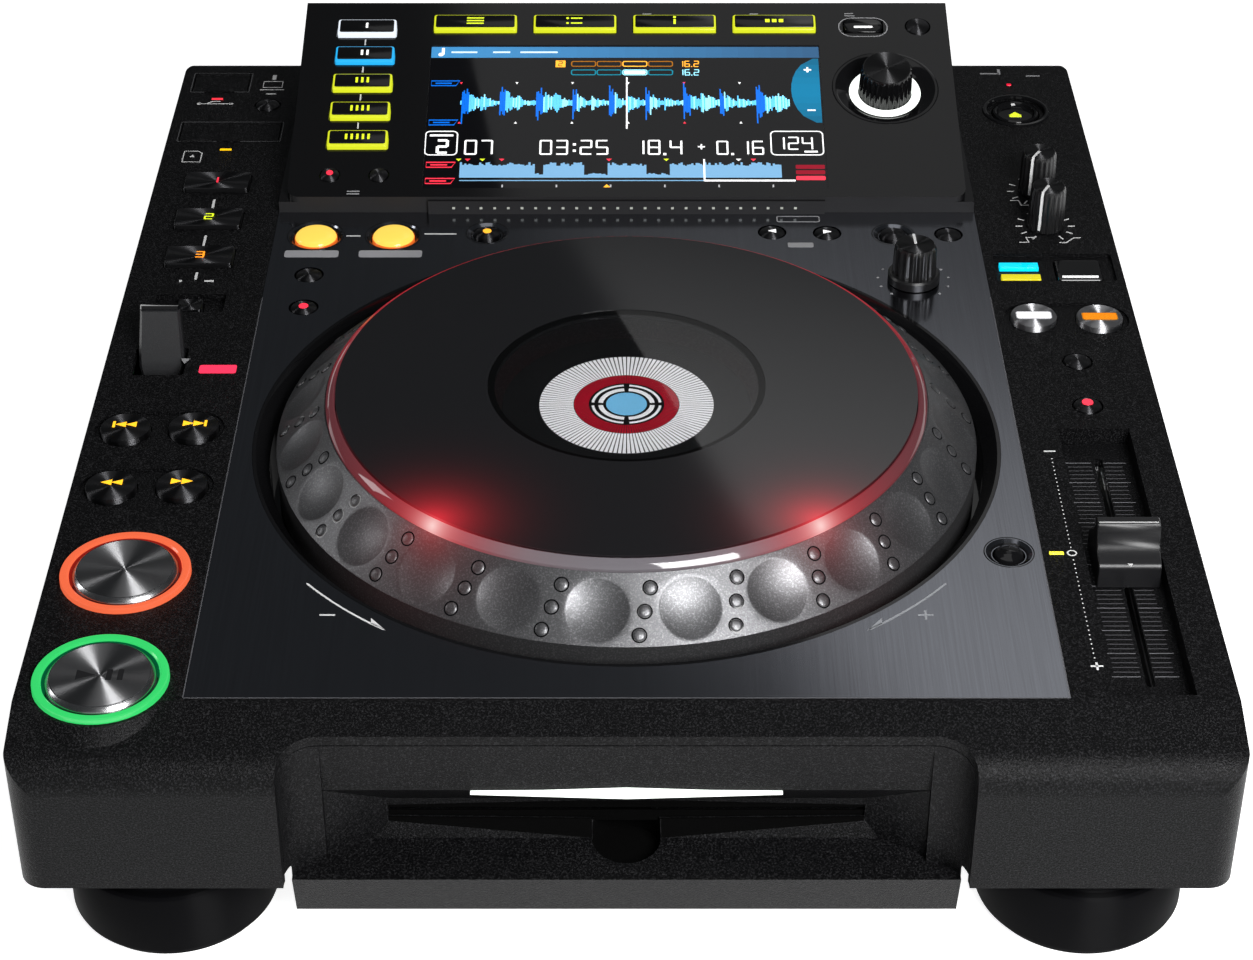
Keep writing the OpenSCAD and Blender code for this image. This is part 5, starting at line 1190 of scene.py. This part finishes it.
def makeScreenPicture():
    shape = newShape()
    screen = onFace(-0.5, 40.0, -0.4)
    ink = screenTints

    def put(outline, tint, low=-0.03, high=0.05):
        flat(shape, outline, screen, tint, 0, low, high)

    steps = 24
    for k in range(steps):
        share = (k + 0.5) / steps
        tone = (0.02 + 0.02 * (1 - share), 0.2 - 0.13 * share, 0.42 - 0.27 * share)
        put(bar(135.0 / steps, 5.6, -67.5 + 135.0 * share, 32.4), tone)
    put(bar(1.0, 3.4, -63.4, 32.9), white, 0, 0.07)
    put(dot(0.9, -64.1, 31.2), white, 0, 0.07)
    for k, length in enumerate((9, 6, 13)):
        put(bar(length, 0.8, -56 + k * 13, 32.4), (0.55, 0.7, 0.8), 0, 0.07)
    rows = ((26.4, ink["dimAmber"], amber), (22.0, ink["dimCyan"], ink["paleCyan"]))
    for row, (y, dim, bright) in enumerate(rows):
        for k in range(4):
            here = bright if k == 2 else dim
            stroke(shape, pill(8.3, 2.5, 0.7, -14.4 + 8.9 * k, y), 0.4, screen, here, 0, True)
            if k == 2 and row:
                put(pill(7.4, 1.7, 0.5, -14.4 + 8.9 * k, y), (0.75, 0.95, 1.0), 0, 0.07)
        numerals(shape, "16.2", 18.5, y - 1.4, 2.8, screen, bright)
    put(bar(3.4, 3.4, -22.4, 26.4), amber)
    numerals(shape, "2", -23.0, 25.3, 2.2, screen @ Matrix.Translation((0, 0, 0.04)), (0.01, 0.01, 0.01))
    for k in range(226):
        x = -56.5 + k * 0.5
        high = loudness(x) * random.uniform(0.45, 1.0)
        low = loudness(x) * random.uniform(0.45, 1.0)
        tint = ink["deepBlue"]
        if loudness(x) <= 6.4:
            tint = ink[random.choice(("lightBlue", "lightBlue", "paleCyan"))]
        put([(x, 6.5 - low), (x + 0.46, 6.5 - low), (x + 0.46, 6.5 + high), (x, 6.5 + high)], tint)
    put(bar(0.55, 26, 0.6, 6.5), white, 0.0, 0.08)
    for k in range(6):
        x = -56.5 + 19.2 * k
        tint = red if k in (0, 4) else white
        put([(x - 0.5, 16.9), (x + 0.5, 16.9), (x, 15.9)], tint)
        put([(x - 0.5, -3.9), (x + 0.5, -3.9), (x, -2.9)], tint)
    for y, tint in ((16.4, ink["deepBlue"]), (-3.4, ink["deepBlue"]), (-24.2, red), (-32.0, red)):
        tag = [(-66.8, y - 1.2), (-58.3, y - 1.2), (-57.0, y + 1.2), (-66.8, y + 1.2)]
        stroke(shape, tag, 0.45, screen, tint, 0, True)
        put(bar(5.6, 0.6, -62.6, y), tint)
    for k in range(10):
        # crescent at the right edge, brighter in its middle
        y0, y1 = -3.5 + 3.26 * k, -3.5 + 3.26 * (k + 1)
        x0, x1 = [67.2 - 10.0 * math.sqrt(max(1 - ((y - 12.8) / 16.6) ** 2, 0.0)) for y in (y0, y1)]
        glow = 0.6 + 0.4 * math.sin(math.pi * (k + 0.5) / 10)
        put([(x0, y0), (67.2, y0), (67.2, y1), (x1, y1)], (0.0, 0.14 * glow, 0.27 * glow))
    for outline in (bar(2.6, 0.7, 63.2, 23.3), bar(0.7, 2.6, 63.2, 23.3), bar(2.8, 0.7, 63.8, 2.7)):
        put(outline, white, 0.0, 0.08)
    for x, wide in ((-62.2, 10.8), (58.2, 17.6)):
        stroke(shape, pill(wide, 11.6, 1.6, x, -13.6), 0.45, screen, white, 0, True)
    put(bar(8.0, 0.9, -62.2, -9.8), white)
    for marks, x, y, height, weight in (("2", -63.4, -18.3, 6.0, 0.17), ("07", -54.0, -19.0, 6.6, 0.1),
                                        ("03:25", -28.6, -19.0, 6.6, 0.1), ("18.4", 2.6, -19.0, 6.6, 0.1),
                                        ("+", 24.6, -17.6, 4.4, 0.13), ("0.16", 31.2, -19.0, 6.2, 0.1),
                                        ("124", 50.6, -16.6, 5.8, 0.1)):
        numerals(shape, marks, x, y, height, screen, white, weight)
    put(bar(4.5, 0.8, 62.8, -17.8), white)
    for k in range(150):
        x = -55.5 + k * 0.72
        gap = any(a < x < b for a, b in ((-31.0, -27.5), (-14.0, -6.5), (6.5, 15.0)))
        high = random.uniform(1.2, 2.2) if gap else random.uniform(5.6, 7.4)
        put([(x, -30.4), (x + 0.74, -30.4), (x + 0.74, -30.4 + high), (x, -30.4 + high)], ink["steel"])
    put(bar(0.6, 10.6, 26.6, -26.8), white, 0.0, 0.08)
    put(bar(30.5, 0.8, 41.8, -31.8), white)
    put(bar(82.0, 0.4, -14.4, -31.8), ink["steel"])
    for x, tint in ((-56, yellowGreen), (-53, red), (-48, yellowGreen), (-41.5, red), (-5.4, red),
                    (13.9, yellowGreen), (38.2, white), (43.2, red)):
        put([(x - 0.9, -21.3), (x + 0.9, -21.3), (x, -22.4)], tint)
    for y, tint in ((-25.2, ink["dimRed"]), (-27.8, ink["dimRed"]), (-30.6, red)):
        put(pill(9.8, 1.9, 0.4, 62.2, y), tint)
    for k in range(6):
        put(bar(0.5, 1.2, -41 + 18.1 * k, -34.4), grey)
    put([(-7.2, -35.0), (-5.0, -35.0), (-6.1, -33.6)], amber)
    makePiece("screenPicture", shape, [glowInk], "root")
    shape = newShape()
    stroke(shape, pill(136.2, 72.4, 0.5), 0.5, screen, (0.1, 0.1, 0.11), 0, True)
    makePiece("screenFrame", shape, [printAndHighlightInk], "root")


makeScreenPicture()
print("screen drawn")


searchDots = {"count": 26, "first": -57.5, "span": 113.7, "low": 77.2, "high": 78.0, "half": 0.45,
              "tint": (0.5, 0.52, 0.47)}


def makeFacePrint():
    shape = newShape()
    face = onFace(0, 0)
    for k in range(4):
        flat(shape, bar(0.5, 3.0, -91.3, 83.9 - 14.2 * (k + 0.5) + 0.4), face, white)
    stroke(shape, pill(17.0, 9.8, 4.6, 83.1, 85.2), 0.4, face, grey, 0, True)
    stroke(shape, [(80.6, 91.2), (77.0, 91.2), (77.0, 92.4), (80.0, 92.4)], 0.4, face, grey)
    for x in (5.7, 43.4):
        flat(shape, bar(3.0, 0.6, x + 1.5, 92.2), face, grey)
    flat(shape, bar(4.2, 0.5, -91.0, 2.6), face, grey)
    flat(shape, bar(4.2, 0.5, -91.0, 1.4), face, grey)
    makePiece("facePrint", shape, [printAndHighlightInk], "root")
    shape = newShape()
    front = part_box("display_housing")[0].y / mm
    low, high, half = searchDots["low"], searchDots["high"], searchDots["half"]
    for k in range(searchDots["count"]):
        x = searchDots["first"] + k * searchDots["span"] / (searchDots["count"] - 1)
        corners = [(x - half, low), (x + half, low), (x + half, high), (x - half, high)]
        loops = [[(a, front + lift, b) for a, b in corners] for lift in (0.02, -0.06)]
        skin(shape, loops, tint=searchDots["tint"])
    makePiece("searchDots", shape, [printAndHighlightInk], "root")


makeFacePrint()

lamps = {"usb": ((-146.0, 160.6), (4.0, 1.2), 75.4, (0.85, 0.03, 0.05)),
         "card": ((-138.7, 122.9), (4.0, 1.2), 75.4, (0.9, 0.5, 0.0)),
         "standby": ((137.6, 171.5), (1.6, 1.6), 75.4, (0.85, 0.0, 0.03)),
         "modeUpper": ((127.0, 45.2), (12.6, 3.5), 75.0, (0.0, 0.5, 0.72)),
         "modeLower": ((127.0, 37.9), (12.6, 3.5), 75.0, (0.5, 0.44, 0.01)),
         "zero": ((119.9, -112.0), (4.0, 1.5), 75.4, (0.95, 0.85, 0.05))}


def makeLamps():
    shape = newShape()
    for (x, y), (width, depth), top, tint in lamps.values():
        softBlock(shape, width, depth, top - 3.0, top, 0.25, 0.15, Matrix.Translation((x, y, 0)), 0, tint)
    makePiece("deckLamps", shape, [glowInk], "root", ["indicator_lenses"])


makeLamps()


def makeDeckPrint():
    shape = newShape()
    ground = onDeck(0, 0)

    def put(outline, tint=white):
        flat(shape, outline, ground, tint)

    def line(points, width=0.5, closed=False):
        stroke(shape, points, width, ground, white, 0, closed)

    for y in (84.4, 60.4, 37.9):
        put(bar(0.8, 6.6 if y > 50 else 4.4, -138.4, y))
    put(bar(0.9, 1.1, -143.1, 34.8))
    put(bar(3.0, 1.0, -133.9, 34.8))
    line([(-152.7, 114.0), (-146.5, 114.0), (-146.5, 120.2), (-148.0, 121.6), (-152.7, 121.6)], 0.4,
         closed=True)
    put([(-150.5, 117.4), (-148.7, 117.4), (-149.6, 119.2)])
    line([(-152.0, 156.8), (-140.6, 156.8)], 0.4)
    put(dot(0.8, -152.0, 156.8))
    put(shifted(arrowHead(1.7), -140.4, 156.8))
    line([(-149.5, 156.8), (-147.5, 158.6), (-144.6, 158.6)], 0.4)
    line([(-130.6, 169.4), (-123.8, 169.4), (-123.8, 174.0), (-130.6, 174.0)], 0.45, closed=True)
    line([(-131.6, 167.6), (-122.8, 167.6)])
    put(bar(1.4, 3.6, -127.2, 177.2))
    put(bar(3.6, 0.8, -127.2, 164.4))
    put([(-137.0, -11.4), (-134.2, -11.4), (-135.6, -14.4)], grey)
    for x0, y, wide in ((128.6, 180.2, 7.0), (144.0, 178.4, 5.0)):
        put(bar(wide, 0.8, x0 + 3, y), grey)
    put(bar(1.0, 4.0, 135.0, 181.6), grey)
    for x, y in (knobs["touchBrake"], knobs["releaseStart"]):
        for angle in range(-60, 241, 30):
            c, s = math.cos(math.radians(angle)), math.sin(math.radians(angle))
            line([(x + 7.5 * c, y + 7.5 * s), (x + 9.8 * c, y + 9.8 * s)])
    line([(128.8, 87.1), (131.6, 87.1), (132.2, 83.9), (135.1, 83.9)], 0.45)
    line([(128.8, 59.4), (131.9, 59.4), (131.3, 62.5), (134.4, 62.5)], 0.45)
    line([(141.9, 59.2), (144.2, 59.2), (147.0, 62.3), (149.3, 62.3)], 0.45)
    for k in range(48):
        # dots beside the fader, with a gap at the zero mark
        y = -65.7 - k * 93.1 / 47
        if abs(y + 112.0) > 1.5:
            put(bar(0.35, 0.45, 124.2, y))
    put(bar(3.4, 0.6, 124.0, -61.8))
    put(bar(3.4, 0.6, 124.4, -162.3))
    put(bar(0.6, 3.2, 124.4, -162.3))
    line(dot(1.2, 124.2, -112.0), 0.4, closed=True)
    makePiece("deckPrint", shape, [printAndHighlightInk], "root")
    shape = newShape()
    flat(shape, pill(11.4, 4.6, 0.8, -125.0, -17.4), ground, (0.85, 0.03, 0.08))
    makePiece("reverseLamp", shape, [glowInk], "root")


makeDeckPrint()


def makePlatePrint():
    shape = newShape()
    ground = onDeck(0, 0)
    for x, y, wide in ((-102.6, 51.9, 17.6), (-76.9, 51.9, 20.6)):
        flat(shape, pill(wide, 4.4, 0.9, x, y), ground, (0.38, 0.38, 0.4))
    for x0, x1, y in ((-92.1, -87.5, 63.5), (-66.5, -56.0, 64.8)):
        flat(shape, bar(x1 - x0, 0.6, (x0 + x1) / 2, y), ground, white)
    flat(shape, pill(8.4, 3.0, 0.6, 57.0, 57.6), ground, grey)
    stroke(shape, pill(14.0, 3.6, 0.7, 57.0, 74.6), 0.4, ground, grey, 0, True)
    for side, tint in ((-1, white), (1, (0.3, 0.31, 0.33))):
        angles = (220.0, 235.3) if side < 0 else (320.0, 304.7)
        path = arcPath(114.6, *angles, 24, 0, wheel["centreY"])
        stroke(shape, path, 0.6, ground, tint)
        end, before = Vector(path[-1]), Vector(path[-3])
        way = (end - before).normalized()
        aside = Vector((-way.y, way.x)) * (-side)
        head = (end + way * 0.6, end - way * 6.0 + aside * 1.9, end - way * 4.5)
        flat(shape, [tuple(p) for p in head], ground, tint)
        flat(shape, bar(4.2, 0.6, side * 81.0, -140.2), ground, tint)
    flat(shape, bar(0.6, 4.0, 81.0, -140.2), ground, (0.3, 0.31, 0.33), 0, -0.03, 0.06)
    x, y = knobs["jogAdjust"]
    for k in range(11):
        t = math.radians(-48 + k * 27.6)
        flat(shape, dot(0.45, x + 11.4 * math.cos(t), y + 11.4 * math.sin(t), 10), ground, grey)
    # pale lines along the plate's cut edges: painted highlight
    for outline in (bar(0.3, 200.0, -115.7, -75.3), bar(0.3, 200.0, 115.7, -75.3),
                    bar(231.2, 0.3, 0, -175.5)):
        flat(shape, outline, ground, (0.1, 0.1, 0.108), high=0.02)
    makePiece("platePrint", shape, [printAndHighlightInk], "root")


# outer and inner radius of the cups
dishes = {"loop": (9.37, 7.68), "small": (7.05, 4.98)}


def makeDishes():
    # glossy black cup under each key that stands in a dish of the plate
    shape = newShape()
    spots = [(*loopButtons["places"][name], *dishes["loop"]) for name in ("loopInButton", "loopOutButton")]
    spots += [(*smallKeys["places"][name][1:3], *dishes["small"]) for name in ("reloopKey", "deleteKey")]
    spots.append((*resetKey["place"], *dishes["small"]))
    for x, y, outer, inner in spots:
        lathe(shape, [(inner, -1.25), (outer + 0.1, -0.12), (outer + 0.1, 0.04), (outer - 0.15, 0.06),
                      (inner, -0.96)], onDeck(x, y), closed=True)
    makePiece("keyDishes", shape, [finish["gloss_black"]], "root")


makePlatePrint()
makeDishes()


tempoScale = {"level": 69.8, "marks": 51, "first": -60.0, "pitch": 2.0, "shorter": 1.2, "line": 0.26,
              "main": (0.16, 0.16, 0.17), "minor": (0.07, 0.07, 0.075)}


def makeTempoScale():
    shape = newShape()
    ground = Matrix.Translation((0, 0, tempoScale["level"]))
    for k in range(tempoScale["marks"]):
        y, main = tempoScale["first"] - tempoScale["pitch"] * k, k % 5 == 0
        inset = 0.0 if main else tempoScale["shorter"]
        for x0, x1 in ((128.7 + inset, 136.9), (140.6, 147.2 - inset)):
            flat(shape, bar(x1 - x0, tempoScale["line"], (x0 + x1) / 2, y), ground,
                 tempoScale["main" if main else "minor"])
    makePiece("tempoScale", shape, [printAndHighlightInk], "root")


makeTempoScale()
print("prints made")


faderCap = {"place": (139.1, -111.0), "width": 17.5, "half": 10.0, "top": 85.85}


def makeFaderCap():
    # ridge, saddle and front lip, drawn out along the cap's width
    shape = newShape()
    half, wide, top = faderCap["half"], faderCap["width"], faderCap["top"]
    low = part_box("tempo_fader_cap")[0].z / mm
    outline = [(-half, 70.1), (half, 70.1), (half, 75.4), (9.4, 76.2), (6.4, 78.4), (3.6, 80.6), (2.5, 82.8),
               (2.1, 85.2), (1.6, top), (-1.6, top), (-2.3, 85.2), (-2.6, 83.4), (-3.4, 81.0), (-5.0, 79.2),
               (-7.0, 78.2), (-8.8, 77.8), (-9.6, 77.2), (-half, 76.2)]
    loops = []
    for x, shrink in ((-wide / 2, 0.25), (-wide / 2 + 0.25, 0.0), (wide / 2 - 0.25, 0.0), (wide / 2, 0.25)):
        # the bottom stays level, the rest draws in at both ends
        loops.append([(x, y * (1 - shrink / half), z if z < 70.2 else z - shrink) for y, z in outline])
    skin(shape, loops)
    softBlock(shape, 1.4, 4.8, low, 70.2, 0.2, 0.1)
    # light grey line along the top of the ridge: painted highlight
    flat(shape, bar(16.6, 0.5, 0, -0.95), Matrix.Translation((0, 0, top)), (0.6, 0.6, 0.6), 1)
    pointer = [(-0.8, -9.0), (0.8, -9.0), (0, -9.9)]
    flat(shape, pointer, Matrix.Translation((0, 0, 77.3)), white, 1, -0.3, 0.32)
    makePiece("tempoCap", shape, [finish["cap"], printAndHighlightInk], "tempo_fader_cap",
              ["tempo_fader_cap"], 40, Matrix.Translation((*faderCap["place"], 0)))


makeFaderCap()


lever = {"hub": (-143.3, -13.0, deck - 13.0), "lean": -22,
         "plate": ((-4.9, 1.0), (4.9, 1.0), (6.9, 10.0), (6.9, 14.0), (6.05, 27.7), (-6.05, 27.7),
                   (-6.9, 14.0), (-6.9, 10.0)),
         "cap": ((-6.05, 27.7), (6.05, 27.7), (6.0, 28.9), (-6.0, 28.9))}


def makeLever():
    # leaning plate with a bevelled rim and a black top, on its hub
    shape = newShape()
    lean = Matrix.Rotation(math.radians(lever["lean"]), 4, "X")
    for slot, (points, middle, reach, upright) in enumerate(((lever["plate"], 14.0, 7.0, 0.5),
                                                             (lever["cap"], 28.0, 10.0, 1.0))):
        loops = []
        for y, inset in ((-2.0, 0.8), (-1.2, 0.0), (1.5, 0.0), (2.0, 0.5)):
            scale = inset / reach
            loops.append([(x * (1 - scale), y, middle + (z - middle) * (1 - scale * upright))
                          for x, z in points])
        skin(shape, loops, lean, slot)
    across = Matrix.Rotation(math.pi / 2, 4, "Y")
    lathe(shape, [(0.02, -9.0), (3.0, -9.0), (3.0, 9.0), (0.02, 9.0)], across, 1)
    makePiece("directionLever", shape, [finish["lever"], finish["gloss_black"]], "direction_lever",
              ["direction_lever"], at=Matrix.Translation(lever["hub"]))


makeLever()


discSlot = {"mouthY": -177.0, "mouthZ": 37.5, "shelf": 28.5, "notch": 9.2, "half": 64.5}


def makeSlotFelt():
    # black felt lips behind the slot and a dark cup in the finger notch
    shape = newShape()
    mouthY, mouthZ, shelf = discSlot["mouthY"], discSlot["mouthZ"], discSlot["shelf"]
    notch, half = discSlot["notch"], discSlot["half"]
    for low, high in ((33.4, 37.0), (38.0, 41.6)):
        skin(shape, [[(x, y, z) for x, z in ((-half, low), (half, low), (half, high), (-half, high))]
                     for y in (mouthY + 1.0, mouthY + 1.4)])
    cup = Matrix.Translation((0, mouthY - 2.0, 0))
    lathe(shape, [(0.02, shelf - 2.95), (notch - 0.02, shelf - 2.95), (notch - 0.02, shelf - 0.1),
                  (notch - 0.12, shelf - 0.1), (notch - 0.12, shelf - 2.8), (0.02, shelf - 2.8)], cup)
    inner, outer = notch - 0.12, notch - 0.02
    rear = arcPath((inner + outer) / 2, 12.0, 168.0, 32)
    stroke(shape, rear, outer - inner, cup, low=shelf - 0.1, high=mouthZ - 2.6)
    # black step below the slot, deeper towards the notch
    for side in (-1, 1):
        loops = []
        for x, foot, top in ((63.7, 34.2, 35.5), (36.0, 31.9, 35.1), (notch + 0.1, 29.75, 34.8)):
            front = mouthY - 2.0 + max(0.0, foot - 29.7) / 2.4
            loops.append([(side * x, y, z) for y, z in (
                (front - 0.07, foot), (mouthY - 0.07, 34.5), (mouthY - 0.07, top), (mouthY + 0.3, top),
                (mouthY + 0.3, 34.5), (front + 0.3, foot))])
        skin(shape, loops)
    makePiece("slotFelt", shape, [finish["felt"]], "root")


makeSlotFelt()


feet = {"places": ((-124.7, -166.8), (124.7, -166.8), (-124.7, 150.0), (124.7, 150.0)),
        "profile": ((0.02, 0.0), (25.5, 0.0), (26.3, 0.5), (26.3, 1.6), (27.3, 2.0), (28.0, 2.6),
                    (28.4, 3.6), (28.4, 20.4), (28.1, 21.3), (27.3, 21.9), (25.4, 22.0), (25.0, 22.4),
                    (25.0, 29.9), (0.02, 29.9))}


def makeFeet():
    for number, (x, y) in enumerate(feet["places"], 1):
        shape = newShape()
        lathe(shape, feet["profile"], steps=128)
        makePiece(f"foot{number}", shape, [finish["foot"]], "root", ["feet"],
                  at=Matrix.Translation((x, y, 0)))


makeFeet()


# door, middle of the pull and its width
lids = {"usbLidPull": ("usb_door", -145.8, 165.6, 11.0), "cardLidPull": ("sd_door", -149.6, 128.6, 11.6)}


def makeDoorPulls():
    # low finger bulge at the front of each lid, and a fine pale line round the lid that is a painted
    # highlight of its edge
    for name, (node, x, y, wide) in lids.items():
        shape = newShape()
        loops = []
        for share, lift in ((1.0, -0.3), (0.96, 0.35), (0.86, 0.6)):
            if node == "usb_door":
                turns = [math.pi * k / 24 for k in range(25)]
                loops.append([(x + wide / 2 * share * math.cos(t), y + 3.6 * share * math.sin(t),
                               deck + lift) for t in turns])
            else:
                loops.append([(x + px * share, y + 0.9 + py * share, deck + lift)
                              for px, py, _ in roundBox(wide, 1.8, 0.6, 0)])
        skin(shape, loops)
        low, high = [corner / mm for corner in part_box(node)]
        lid = pill(high.x - low.x - 0.5, min(high.y - low.y, 15.2) - 0.5, 0.6, (low.x + high.x) / 2,
                   y + (7.6 if node == "usb_door" else 7.3))
        # painted highlight round the lid's edge
        stroke(shape, lid, 0.28, onDeck(0, 0), (0.09, 0.09, 0.094), 1, True, -0.02, 0.03)
        makePiece(name, shape, [finish["cover"], printAndHighlightInk], node)


makeDoorPulls()
print("cap, feet and lids made")
